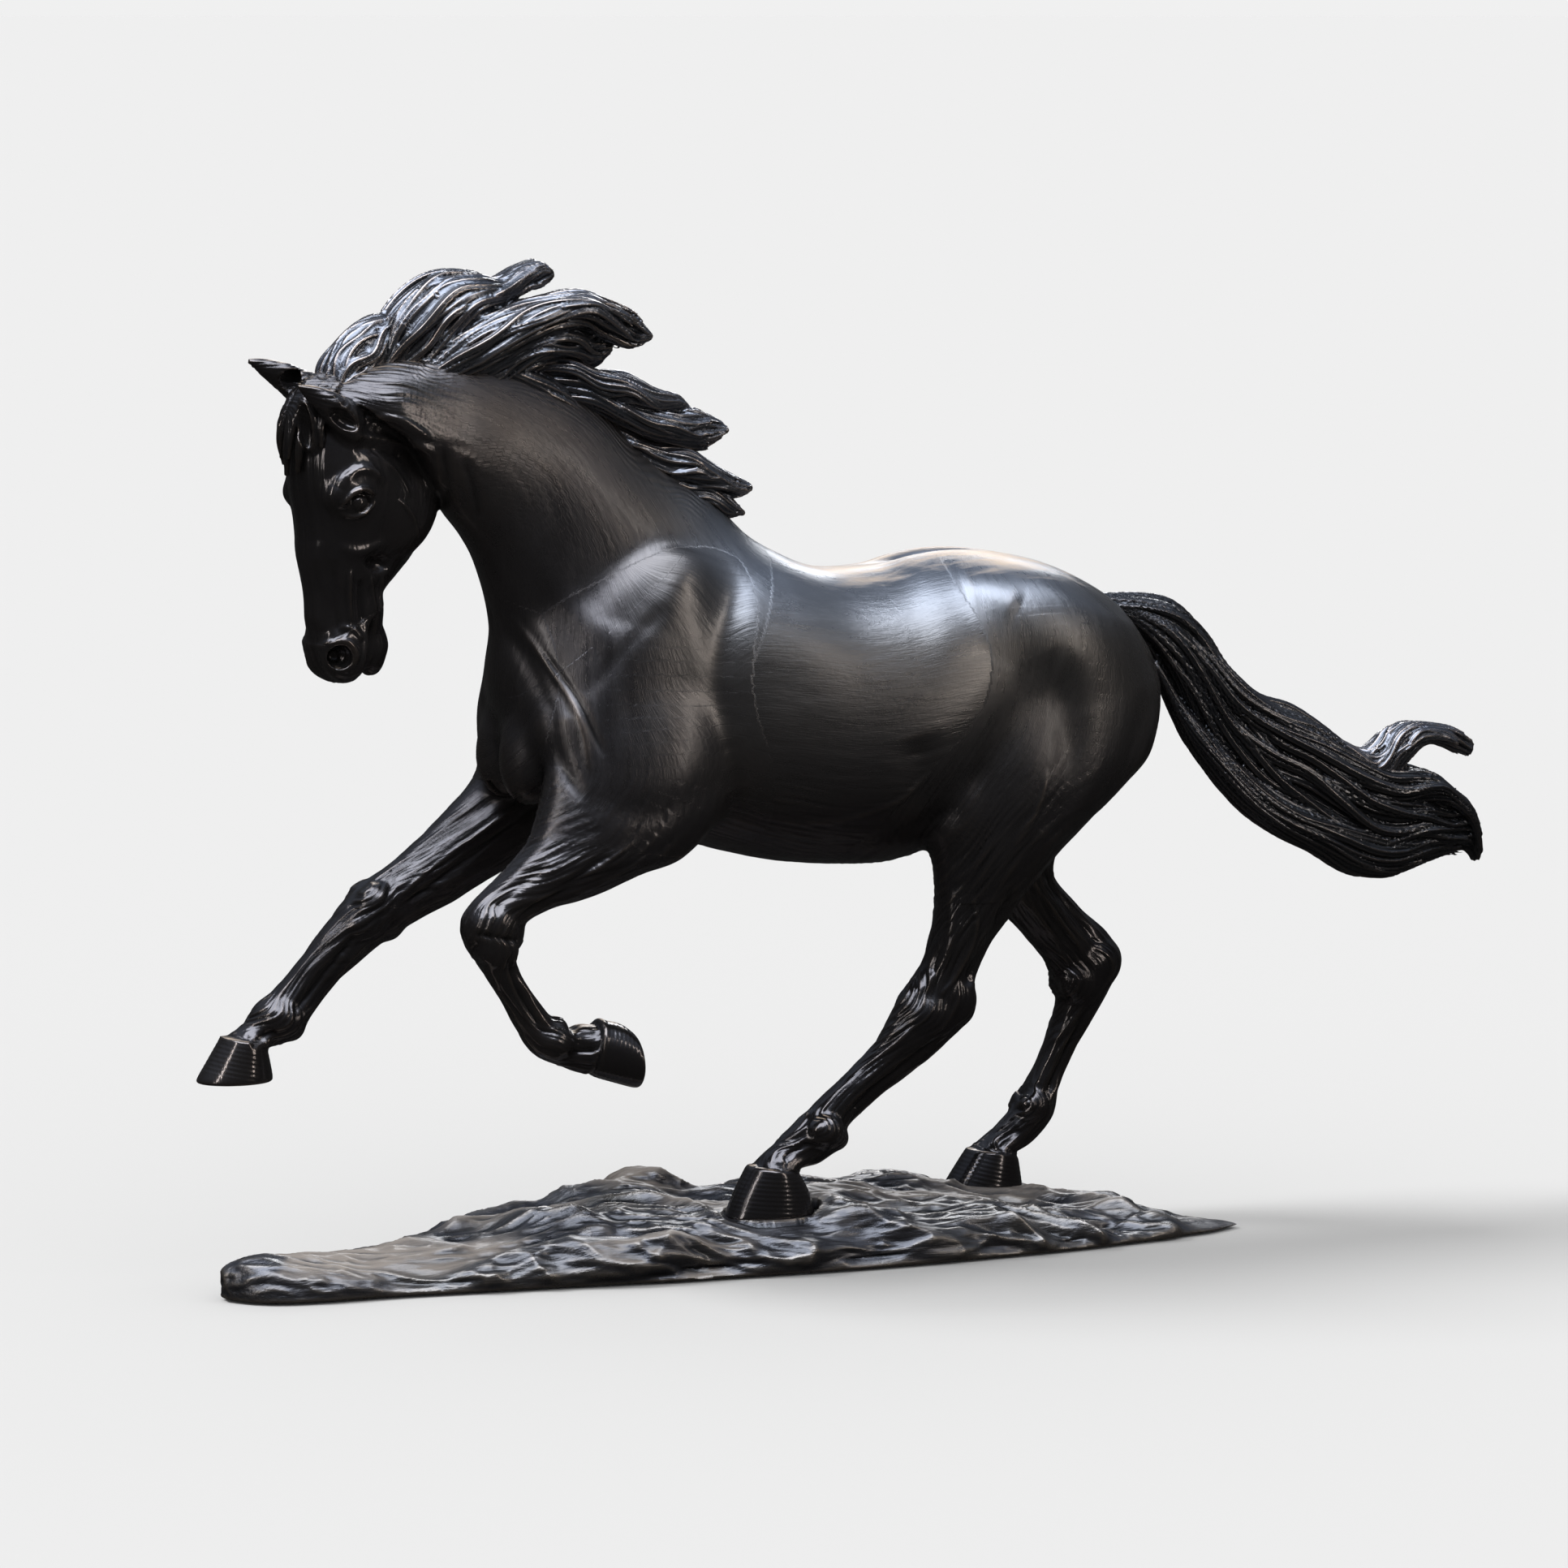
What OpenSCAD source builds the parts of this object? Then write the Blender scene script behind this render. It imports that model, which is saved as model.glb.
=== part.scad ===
// Galloping horse statuette: bronze castings joined on dowels and chased together,
// standing on its two hind hooves on a rough cast ground.
// X runs from nose to tail, Z is up, and the horse's left side faces -Y.

/* [Castings] */
// Thickness of the hollow cast walls
wall = 4.5; // [3:0.5:6]
// How full the body sections are, where 1 is a plain oval
section_fullness = 0.86; // [0.75:0.01:1]
// Width of the body, limbs and hair as a share of the drawn widths
girth = 1.0; // [0.95:0.01:1.03]

/* [Ground] */
// Height of the wind-blown folds on the ground
fold_height = 2.5; // [0:0.5:4]
// Width of the flat rim under the ground casting
rim = 8; // [6:0.5:10]
// Thickness of the felt discs under the ground casting
felt = 1; // [0.5:0.25:1.5]

/* [Fixings] */
// Diameter of the threaded studs in the hind hooves
stud_d = 5; // [4:0.5:6]
// Diameter of the dowels between body, neck, head, limbs and tail
dowel_d = 5; // [4:0.5:6]
// Diameter of the pins that hold the locks of hair
pin_d = 3; // [2:0.5:3.5]

/* [Hidden] */

bronze = [0.13, 0.11, 0.10];
dark_bronze = [0.09, 0.08, 0.08];
rod_bronze = [0.66, 0.49, 0.29];
steel = [0.62, 0.63, 0.65];
felt_green = [0.16, 0.24, 0.18];

around = 16;         // points round a section
per_span = 2;        // rings drawn for each pair of stations
clear = 0.05;        // radial room round a stud, a dowel or a pin
bulkhead = 12;       // solid bronze left at each parting of a hollow casting
first_core = 1;      // first and last barrel stations that the hollow reaches
last_core = 12;
dowel_l = 16;
pin_l = 12;
far = 900;           // larger than any casting

// ---- Sections -------------------------------------------------------------
// A station is [front x, front z, back x, back z, middle y, half width, widest place from front to back].

barrel = [
    [-164, 258, -166, 228, 2, 22, 0.5],
    [-156, 284, -157, 210, 1, 34, 0.5],
    [-134, 300, -138, 198, 0, 42, 0.5],
    [-106, 309, -108, 186, 0, 47, 0.55],
    [-78, 312, -79, 178, 0, 51, 0.58],
    [-50, 303, -48, 170, 0, 55, 0.56],
    [-23, 294, -23, 167, 0, 57, 0.54],
    [2, 294, 2, 166, 0, 58, 0.54],
    [19, 298, 19, 169, 0, 57, 0.52],
    [36, 300, 36, 176, 0, 55, 0.5],
    [55, 299, 52, 185, 0, 52, 0.48],
    [75, 295, 70, 192, 0, 50, 0.46],
    [94, 288, 90, 198, 0, 47, 0.46],
    [113, 277, 109, 204, 0, 41, 0.46],
    [130, 260, 125, 212, 0, 30, 0.48],
    [138, 245, 135, 222, 0, 18, 0.5]
];

neck_root = [
    [-36, 292, -128, 204, 0, 34, 0.5],
    [-54, 306, -152, 220, 0, 37, 0.52],
    [-72, 325, -168, 244, 0, 34, 0.55]
];
neck = [
    [-72, 325, -168, 244, 0, 34, 0.55],
    [-98, 343, -170, 271, -2, 28, 0.58],
    [-127, 366, -177, 296, -5, 23, 0.6],
    [-156, 380, -185, 310, -9, 20, 0.6],
    [-187, 387, -194, 321, -13, 19, 0.6],
    [-216, 386, -203, 333, -16, 18, 0.58]
];
neck_top = [
    [-216, 386, -203, 333, -16, 18, 0.58],
    [-234, 382, -209, 344, -18, 17, 0.56],
    [-247, 375, -214, 352, -18, 15, 0.55]
];
neck_core = [
    [-98, 343, -168, 273, -2, 28, 0.58],
    [-127, 366, -177, 296, -5, 23, 0.6],
    [-156, 380, -185, 310, -9, 20, 0.6],
    [-184, 387, -193, 320, -13, 19, 0.6]
];

// The face and chin are drawn in the head's own upright plane, from the poll down to the lips.
head_place = [-249, -15, 0];
head_turn = 15;
face = [
    [-2, 378, 24, 367, 0, 13, 0.5],
    [-9, 366, 38, 352, 0, 19, 0.42],
    [-13, 351, 45, 335, 0, 24, 0.36],
    [-13, 337, 45, 322, 0, 25, 0.32],
    [-11, 323, 40, 309, 0, 21, 0.32],
    [-10, 309, 33, 299, 0, 17.5, 0.34],
    [-8, 295, 26, 290, 0, 15, 0.4],
    [-7, 281, 21, 280, 0, 13.5, 0.46],
    [-5, 269, 18, 270, 0, 14, 0.48],
    [-1, 260, 16, 262, 0, 12, 0.5],
    [4, 254, 13, 256, 0, 6, 0.5]
];
chin = [
    [12, 285, 24, 286, 0, 6, 0.5],
    [12, 277, 25, 278, 0, 8, 0.5],
    [14, 267, 28, 268, 0, 8, 0.5],
    [14, 260, 23, 260, 0, 6, 0.5]
];
left_ear = [
    [-236, 374, -234, 358, -26, 7, 0.5],
    [-246, 374, -244, 361, -28, 7.5, 0.5],
    [-256, 375, -254, 367, -30, 5, 0.5],
    [-266, 376, -264, 374, -32, 1.5, 0.5]
];
right_ear = [
    [-250, 374, -248, 360, -4, 7, 0.5],
    [-258, 376, -256, 362, -3, 7, 0.5],
    [-266, 379, -264, 370, -2, 5, 0.5],
    [-275, 385, -273, 382, -1, 1.5, 0.5]
];
forelock = [
    [-2, 382, 6, 372, 0, 6, 0.5],
    [-12, 371, -5, 366, 0, 7, 0.5],
    [-17, 358, -11, 355, 1, 5, 0.5],
    [-16, 346, -12, 346, 2, 2, 0.5]
];

left_shoulder = [
    [-138, 272, -96, 264, -24, 16, 0.5],
    [-154, 244, -84, 228, -31, 19, 0.5],
    [-158, 214, -80, 200, -37, 19, 0.5],
    [-166, 189, -100, 178, -41, 17, 0.5]
];
left_foreleg = [
    [-166, 189, -100, 178, -41, 17, 0.5],
    [-175, 178, -118, 171, -42, 15, 0.5],
    [-184, 169, -138, 164, -42, 13, 0.5],
    [-192, 163, -156, 160, -42, 11, 0.5],
    [-197, 156, -174, 152, -42, 11, 0.5],
    [-198, 147, -176, 144, -42, 10.5, 0.5],
    [-193, 137, -175, 134, -42, 8.5, 0.5],
    [-184, 125, -170, 125, -42, 7, 0.5],
    [-176, 111, -162, 115, -42, 7, 0.5],
    [-169, 99, -154, 108, -42, 8.5, 0.5],
    [-158, 93, -147, 110, -42, 7.5, 0.5],
    [-147, 90, -140, 109, -42, 8.5, 0.5],
    [-138, 91, -133, 107, -42, 8, 0.5]
];
left_fore_hoof = [
    [-142, 87, -140, 112, -42, 11, 0.5],
    [-132, 84, -130, 110, -42, 12.5, 0.5],
    [-123, 82, -125, 106, -42, 13.5, 0.5]
];

right_shoulder = [
    [-146, 270, -98, 264, 24, 16, 0.5],
    [-164, 248, -90, 230, 28, 19, 0.5],
    [-167, 224, -92, 206, 31, 18, 0.5],
    [-164, 206, -118, 188, 33, 16, 0.5]
];
right_foreleg = [
    [-164, 206, -118, 188, 33, 16, 0.5],
    [-179, 190, -140, 174, 32, 14, 0.5],
    [-197, 174, -170, 156, 32, 12, 0.5],
    [-210, 164, -188, 147, 32, 11, 0.5],
    [-222, 156, -204, 140, 32, 11, 0.5],
    [-232, 146, -215, 132, 32, 9, 0.5],
    [-243, 133, -229, 121, 32, 7, 0.5],
    [-254, 122, -238, 109, 32, 7.5, 0.5],
    [-263, 115, -244, 101, 32, 9, 0.5],
    [-268, 108, -254, 98, 32, 8, 0.5],
    [-275, 102, -262, 97, 32, 9, 0.5],
    [-278, 95, -262, 93, 32, 8, 0.5]
];
right_fore_hoof = [
    [-279, 101, -260, 98, 32, 11, 0.5],
    [-285, 92, -258, 91, 32, 12.5, 0.5],
    [-290, 84, -257, 84, 32, 13.5, 0.5]
];

left_haunch = [
    [56, 282, 116, 262, -20, 24, 0.5],
    [42, 252, 128, 238, -26, 26, 0.5],
    [30, 220, 127, 213, -29, 26, 0.5],
    [22, 194, 116, 200, -32, 24, 0.5],
    [18, 178, 95, 186, -35, 20, 0.5],
    [19, 166, 75, 170, -36, 17, 0.5],
    [20, 152, 58, 152, -36, 14, 0.5]
];
left_hind_leg = [
    [20, 152, 58, 152, -36, 14, 0.5],
    [16, 135, 44, 133, -36, 12, 0.5],
    [12, 123, 36, 119, -35, 11, 0.5],
    [2, 111, 33, 103, -35, 11, 0.5],
    [-3, 100, 24, 93, -35, 10.5, 0.5],
    [-10, 90, 8, 81, -34, 8, 0.5],
    [-24, 78, -9, 69, -33, 7, 0.5],
    [-37, 67, -21, 58, -32, 7.5, 0.5],
    [-47, 59, -23, 50, -32, 9, 0.5],
    [-54, 52, -33, 43, -32, 8, 0.5],
    [-61, 46, -44, 41, -32, 9, 0.5],
    [-66, 39, -47, 35, -32, 8, 0.5]
];
left_hind_hoof = [
    [-67, 42, -43, 38, -32, 11, 0.5],
    [-73, 32, -39, 30, -32, 12.5, 0.5],
    [-77, 22, -37, 22, -32, 13.5, 0.5]
];

right_haunch = [
    [58, 282, 118, 262, 20, 24, 0.5],
    [46, 252, 137, 238, 26, 25, 0.5],
    [36, 222, 135, 214, 28, 25, 0.5],
    [34, 196, 127, 199, 29, 22, 0.5],
    [40, 174, 121, 182, 30, 18, 0.5],
    [58, 155, 112, 167, 29, 15, 0.5],
    [77, 140, 107, 154, 28, 13, 0.5]
];
right_hind_leg = [
    [77, 140, 107, 154, 28, 13, 0.5],
    [92, 125, 119, 138, 28, 11.5, 0.5],
    [103, 113, 132, 125, 28, 11, 0.5],
    [108, 101, 137, 112, 28, 11, 0.5],
    [107, 89, 127, 92, 28, 9.5, 0.5],
    [100, 73, 116, 77, 28, 7.5, 0.5],
    [92, 58, 109, 61, 28, 7.5, 0.5],
    [84, 47, 105, 46, 28, 8.5, 0.5],
    [77, 40, 97, 35, 28, 8.5, 0.5],
    [68, 34, 86, 30, 28, 9, 0.5],
    [63, 27, 84, 25, 28, 8, 0.5]
];
right_hind_hoof = [
    [64, 31, 87, 28, 28, 11, 0.5],
    [58, 23, 89, 22, 28, 12.5, 0.5],
    [53, 15, 90, 15, 28, 13.5, 0.5]
];

tail = [
    [110, 276, 126, 254, 0, 8, 0.5],
    [129, 278, 138, 244, 0, 12, 0.5],
    [148, 273, 150, 218, -1, 15, 0.5],
    [166, 253, 162, 198, -3, 18, 0.5],
    [184, 234, 180, 181, -6, 19, 0.5],
    [208, 223, 200, 165, -9, 19, 0.5],
    [230, 204, 222, 154, -11, 19, 0.5],
    [250, 196, 248, 150, -12, 17, 0.5],
    [274, 186, 276, 153, -13, 13, 0.5],
    [290, 174, 294, 158, -14, 6, 0.5]
];
tail_curl = [
    [230, 192, 242, 176, -14, 8, 0.5],
    [242, 206, 252, 188, -15, 8, 0.5],
    [256, 216, 260, 200, -17, 7, 0.5],
    [270, 216, 272, 204, -18, 6, 0.5],
    [286, 208, 284, 200, -19, 4, 0.5]
];

// Locks of the mane, from the neck outwards.
mane_crest = [
    [[-248, 380, -240, 370, -14, 5, 0.5], [-242, 394, -226, 378, -12, 8, 0.5],
     [-226, 404, -212, 386, -10, 9, 0.5], [-212, 403, -204, 388, -10, 6, 0.5]],
    [[-226, 392, -210, 378, -10, 8, 0.5], [-210, 413, -190, 386, -8, 12, 0.5],
     [-190, 424, -170, 394, -6, 13, 0.5], [-168, 423, -154, 398, -4, 11, 0.5],
     [-150, 424, -142, 408, -2, 6, 0.5]],
    [[-200, 392, -188, 376, -8, 10, 0.5], [-180, 406, -168, 380, -8, 13, 0.5],
     [-154, 410, -148, 378, -8, 13, 0.5], [-128, 408, -126, 384, -10, 11, 0.5],
     [-106, 398, -108, 388, -12, 5, 0.5]]
];
mane_middle = [
    [[-152, 386, -144, 366, -6, 8, 0.5], [-130, 380, -124, 356, -6, 10, 0.5],
     [-110, 374, -104, 350, -8, 9, 0.5], [-90, 366, -86, 348, -9, 7, 0.5],
     [-70, 357, -73, 348, -10, 4, 0.5]]
];
mane_lower = [
    [[-122, 364, -116, 350, -5, 6, 0.5], [-104, 350, -98, 334, -6, 8, 0.5],
     [-82, 343, -80, 326, -7, 8, 0.5], [-60, 330, -63, 322, -8, 4, 0.5]]
];

// The ground: [x, middle y, half width, top z, height of the underside above the rim].
ground = [
    [-296, -15, 3, 14, 10],
    [-288, -15, 14, 16, 6],
    [-276, -15, 21, 15, 2],
    [-258, -13, 26, 14, 0],
    [-230, -8, 32, 14, 0],
    [-190, -3, 42, 18, 0],
    [-150, 0, 50, 24, 0],
    [-110, 0, 56, 28, 0],
    [-80, 0, 58, 28, 0],
    [-40, -1, 60, 26, 0],
    [0, -2, 60, 26, 0],
    [40, -2, 58, 22, 0],
    [80, -3, 54, 17, 0],
    [110, -6, 46, 12, 0],
    [132, -13, 35, 8, 0],
    [150, -23, 19, 5, 0],
    [166, -31, 3, 2, 0]
];
far_rock = [
    [-114, 24, -114, 8, 28, 8, 0.5],
    [-100, 33, -102, 8, 27, 15, 0.5],
    [-84, 36, -86, 8, 28, 16, 0.5],
    [-68, 24, -70, 8, 30, 9, 0.5]
];
first_hollow = 4;
last_hollow = 12;

// Hooves that stand on the ground: [x, y, sole z, underside of the boss].
hoof_seats = [[-56, -32, 22, 12.5], [72, 28, 15, 8.5]];
pad_r = 18;
boss_r = 10;
felt_places = [[-185, -26], [-150, 30], [92, -30], [98, 24]];
felt_r = 6;
foot_r = 8;
stud_l = 26;
stud_rise = 1.5;     // how far a stud's foot shows under its nut
washer_h = 1;
nut_h = 4;

// Places where castings meet: [x, y, z, tilt from upright towards +X].
dowel_places = [
    [-133, -41, 183.5, 9.5], [-141, 33, 197, 21],
    [39, -36, 152, 0], [92, 28, 147, -25],
    [-100, -1, 301.5, -40], [-142, -1, 266, -40],
    [-209.5, -16, 359.5, -104], [119, 0, 264, 54]
];
pin_places = [
    [-198, -11, 387, 0], [-164, -9, 383, 8],
    [-131, -6, 368, 30], [-115, -5, 357, 38],
    [-100, -4, 345, 38], [-86, -4, 335, 38],
    [247, -14, 197, 25]
];

// ---- Lofts ----------------------------------------------------------------

function blend(a, b, c, d, t) =   // Catmull-Rom, which passes through b and c
    0.5 * (2 * b + (c - a) * t + (2 * a - 5 * b + 4 * c - d) * t * t + (3 * b - a - 3 * c + d) * t * t * t);
function spread(s) = let (n = len(s)) concat(
    [for (i = [0:n - 2]) for (k = [0:per_span - 1])
        blend(s[max(i - 1, 0)], s[i], s[i + 1], s[min(i + 2, n - 1)], k / per_span)],
    [s[n - 1]]);
function full(v) = sign(v) * pow(abs(v), section_fullness);
function ring(r) = let (mid_x = r[0] + (r[2] - r[0]) * r[6], mid_z = r[1] + (r[3] - r[1]) * r[6])
    [for (k = [0:around - 1]) let (c = cos(360 * k / around), s = sin(360 * k / around))
        [mid_x + (c > 0 ? (r[0] - mid_x) : (mid_x - r[2])) * c,
         r[4] + girth * r[5] * full(s),
         mid_z + (c > 0 ? (r[1] - mid_z) : (mid_z - r[3])) * c]];
function goes_left(s) =   // which way the rings face, so that the skin's outside is outside
    (s[0][3] - s[0][1]) * (s[1][0] + s[1][2] - s[0][0] - s[0][2])
    + (s[0][0] - s[0][2]) * (s[1][1] + s[1][3] - s[0][1] - s[0][3]) > 0;
function backwards(f) = [for (k = [len(f) - 1:-1:0]) f[k]];
function thinner(s, by) = [for (r = s)
    let (d = norm([r[0] - r[2], r[1] - r[3]]), u = (r[2] - r[0]) / d, v = (r[3] - r[1]) / d)
    [r[0] + u * by, r[1] + v * by, r[2] - u * by, r[3] - v * by, r[4], r[5] - by, r[6]]];

module skin(rows, flip) {   // closes a list of rings into one solid
    n = len(rows);
    m = len(rows[0]);
    side = [for (i = [0:n - 2]) for (k = [0:m - 1]) let (a = i * m + k, b = i * m + (k + 1) % m)
        each [[a, b, b + m], [a, b + m, a + m]]];
    ends = [[for (k = [m - 1:-1:0]) k], [for (k = [0:m - 1]) (n - 1) * m + k]];
    faces = concat(side, ends);
    polyhedron([for (r = rows) each r], flip ? [for (f = faces) backwards(f)] : faces);
}
module loft(stations) skin([for (r = spread(stations)) ring(r)], goes_left(stations));

// The triangles inside are joined into one skin; zeros leave the size as it is.
module one_skin() resize([0, 0, 0]) children();

// Everything on one side of a parting, which runs through a station's front and back points.
module beyond(r) {
    tilt = atan2(r[1] - r[3], r[0] - r[2]);
    translate([(r[0] + r[2]) / 2, 0, (r[1] + r[3]) / 2]) rotate([0, -tilt, 0])
        translate([-far / 2, -far / 2, -far]) cube(far);
}
module before(r, depth = 0) {
    tilt = atan2(r[1] - r[3], r[0] - r[2]);
    translate([(r[0] + r[2]) / 2, 0, (r[1] + r[3]) / 2]) rotate([0, -tilt, 0])
        translate([-far / 2, -far / 2, depth]) cube(far);
}

// ---- Shapes of the castings before they are parted ------------------------

module trunk() {
    loft(barrel);
    loft(neck_root);
    loft(left_shoulder);
    loft(right_shoulder);
    loft(left_haunch);
    loft(right_haunch);
}
module upper_neck() {
    loft(neck);
    loft(barrel);
}
module skull() {
    translate(head_place) rotate([0, 0, head_turn]) {
        loft(face);
        loft(chin);
        loft(forelock);
    }
    loft(neck_top);
    loft(left_ear);
    loft(right_ear);
}
module neck_side(depth = 0) before([-72, 325, -168, 244], depth);
module trunk_side() beyond([-72, 325, -168, 244]);
module head_side() beyond([-203, 333, -216, 386]);
module neck_rear() before([-203, 333, -216, 386]);

// ---- Fixings --------------------------------------------------------------

module rods(places, d, l) for (p = places)
    translate([p[0], p[1], p[2]]) rotate([0, p[3], 0]) cylinder(d = d, h = l, center = true, $fn = 32);
module dowel_bores() rods(dowel_places, dowel_d + 2 * clear, dowel_l + 2 * clear);
module pin_bores() rods(pin_places, pin_d + 2 * clear, pin_l + 2 * clear);

module stud(seat, room = 0) translate([seat[0], seat[1], seat[3] - washer_h - nut_h - stud_rise - room])
    cylinder(d = stud_d + 2 * room, h = stud_l + 2 * room, $fn = 32);

// ---- The pieces -----------------------------------------------------------

module torso_casting() color(bronze) difference() {
    one_skin() difference() {
        trunk();
        neck_side();
    }
    one_skin() difference() {
        loft(thinner([for (i = [first_core:last_core]) barrel[i]], wall));
        neck_side(-bulkhead);
    }
    dowel_bores();
}
module neck_casting() color(bronze) difference() {
    one_skin() difference() {
        upper_neck();
        trunk_side();
        head_side();
    }
    one_skin() loft(thinner(neck_core, wall + 3));
    dowel_bores();
    pin_bores();
}
module head_casting() color(bronze) difference() {
    one_skin() difference() {
        skull();
        neck_rear();
    }
    dowel_bores();
}
module lock_of(paths) for (l = paths) loft(l);
module mane_crest_casting() color(dark_bronze) difference() {
    one_skin() difference() {
        lock_of(mane_crest);
        upper_neck();
        skull();
    }
    pin_bores();
}
module mane_middle_lock() color(dark_bronze) difference() {
    one_skin() difference() {
        lock_of(mane_middle);
        lock_of(mane_crest);
        upper_neck();
    }
    pin_bores();
}
module mane_lower_lock() color(dark_bronze) difference() {
    one_skin() difference() {
        lock_of(mane_lower);
        lock_of(mane_middle);
        upper_neck();
        trunk();
    }
    pin_bores();
}
module limb(leg, hoof) one_skin() difference() {
    union() {
        loft(leg);
        loft(hoof);
    }
    trunk();
}
module left_foreleg_casting() color(bronze) difference() {
    limb(left_foreleg, left_fore_hoof);
    dowel_bores();
}
module right_foreleg_casting() color(bronze) difference() {
    limb(right_foreleg, right_fore_hoof);
    dowel_bores();
}
module left_hind_leg_casting() color(bronze) difference() {
    limb(left_hind_leg, left_hind_hoof);
    dowel_bores();
    stud(hoof_seats[0], clear);
}
module right_hind_leg_casting() color(bronze) difference() {
    limb(right_hind_leg, right_hind_hoof);
    dowel_bores();
    stud(hoof_seats[1], clear);
}
module tail_casting() color(dark_bronze) difference() {
    one_skin() difference() {
        loft(tail);
        trunk();
    }
    dowel_bores();
    pin_bores();
}
module tail_curl_casting() color(dark_bronze) difference() {
    one_skin() difference() {
        loft(tail_curl);
        loft(tail);
    }
    pin_bores();
}

// The ground's rows run from the far edge over the top to the near edge.
function fold(x, a) = fold_height * sin(a) * (sin(5 * x + 2 * a) + 0.6 * sin(9 * x - 3 * a));
function arch(g, inset, drop, folds) = [for (k = [0:12]) let (a = 15 * k)
    let (low = felt + max(0, g[4]))
    [g[0], g[1] + (g[2] - inset) * cos(a), low - drop + (g[3] - low) * pow(sin(a), 0.7) + folds * fold(g[0], a)]];
module ground_form() {
    skin([for (g = spread(ground)) arch(g, 0, 0, 1)], true);
    loft(far_rock);
}
module ground_hollow() skin([for (g = spread([for (i = [first_hollow:last_hollow]) ground[i]]))
    arch(g, rim, wall, 0.8)], true);

module ground_casting() color(dark_bronze) difference() {
    one_skin() difference() {
        union() {
            difference() {
                ground_form();
                ground_hollow();
            }
            intersection() {
                ground_form();
                union() {
                    for (s = hoof_seats) translate([s[0], s[1], s[3]]) cylinder(r = boss_r, h = far, $fn = 24);
                    for (p = felt_places) translate([p[0], p[1], 0]) cylinder(r = foot_r, h = far, $fn = 24);
                }
            }
            for (s = hoof_seats) translate([s[0], s[1], s[3]])
                cylinder(r1 = boss_r, r2 = pad_r, h = s[2] - s[3], $fn = 24);
        }
        for (s = hoof_seats) translate([s[0], s[1], s[2]]) cylinder(r = pad_r + 7, h = far, $fn = 32);
    }
    for (s = hoof_seats) stud(s, clear);
}
module joint_dowels() color(rod_bronze) rods(dowel_places, dowel_d, dowel_l);
module hair_pins() color(rod_bronze) rods(pin_places, pin_d, pin_l);
module hoof_studs() color(steel) for (s = hoof_seats) stud(s);
module stud_washers() color(steel) for (s = hoof_seats)
    translate([s[0], s[1], s[3] - washer_h]) difference() {
        cylinder(d = 2 * stud_d, h = washer_h, $fn = 48);
        translate([0, 0, -1]) cylinder(d = stud_d + 2 * clear, h = washer_h + 2, $fn = 32);
    }
module stud_nuts() color(steel) for (s = hoof_seats)
    translate([s[0], s[1], s[3] - washer_h - nut_h]) difference() {
        cylinder(d = 1.8 * stud_d, h = nut_h, $fn = 6);
        translate([0, 0, -1]) cylinder(d = stud_d + 2 * clear, h = nut_h + 2, $fn = 32);
    }
module felt_discs() color(felt_green) for (p = felt_places)
    translate([p[0], p[1], 0]) cylinder(r = felt_r, h = felt, $fn = 48);

torso_casting();
neck_casting();
head_casting();
mane_crest_casting();
mane_middle_lock();
mane_lower_lock();
left_foreleg_casting();
right_foreleg_casting();
left_hind_leg_casting();
right_hind_leg_casting();
tail_casting();
tail_curl_casting();
ground_casting();
joint_dowels();
hair_pins();
hoof_studs();
stud_washers();
stud_nuts();
felt_discs();
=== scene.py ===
import math
import random

import bmesh
import bpy
import numpy as np
import openvdb as vdb
from mathutils import Euler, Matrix, Vector, kdtree, noise


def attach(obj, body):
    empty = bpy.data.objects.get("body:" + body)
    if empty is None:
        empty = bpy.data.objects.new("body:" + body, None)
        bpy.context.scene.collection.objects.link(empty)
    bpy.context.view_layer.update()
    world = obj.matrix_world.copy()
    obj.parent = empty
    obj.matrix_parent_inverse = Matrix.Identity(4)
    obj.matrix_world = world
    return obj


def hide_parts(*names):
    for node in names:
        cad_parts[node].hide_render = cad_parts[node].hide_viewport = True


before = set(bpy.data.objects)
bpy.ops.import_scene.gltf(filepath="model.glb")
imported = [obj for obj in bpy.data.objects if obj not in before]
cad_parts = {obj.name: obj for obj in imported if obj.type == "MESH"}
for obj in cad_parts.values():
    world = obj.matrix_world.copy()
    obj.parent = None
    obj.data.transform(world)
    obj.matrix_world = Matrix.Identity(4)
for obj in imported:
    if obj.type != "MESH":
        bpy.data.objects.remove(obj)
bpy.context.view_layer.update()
mm = 0.001
print("frame loaded,", len(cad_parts), "nodes")

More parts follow.
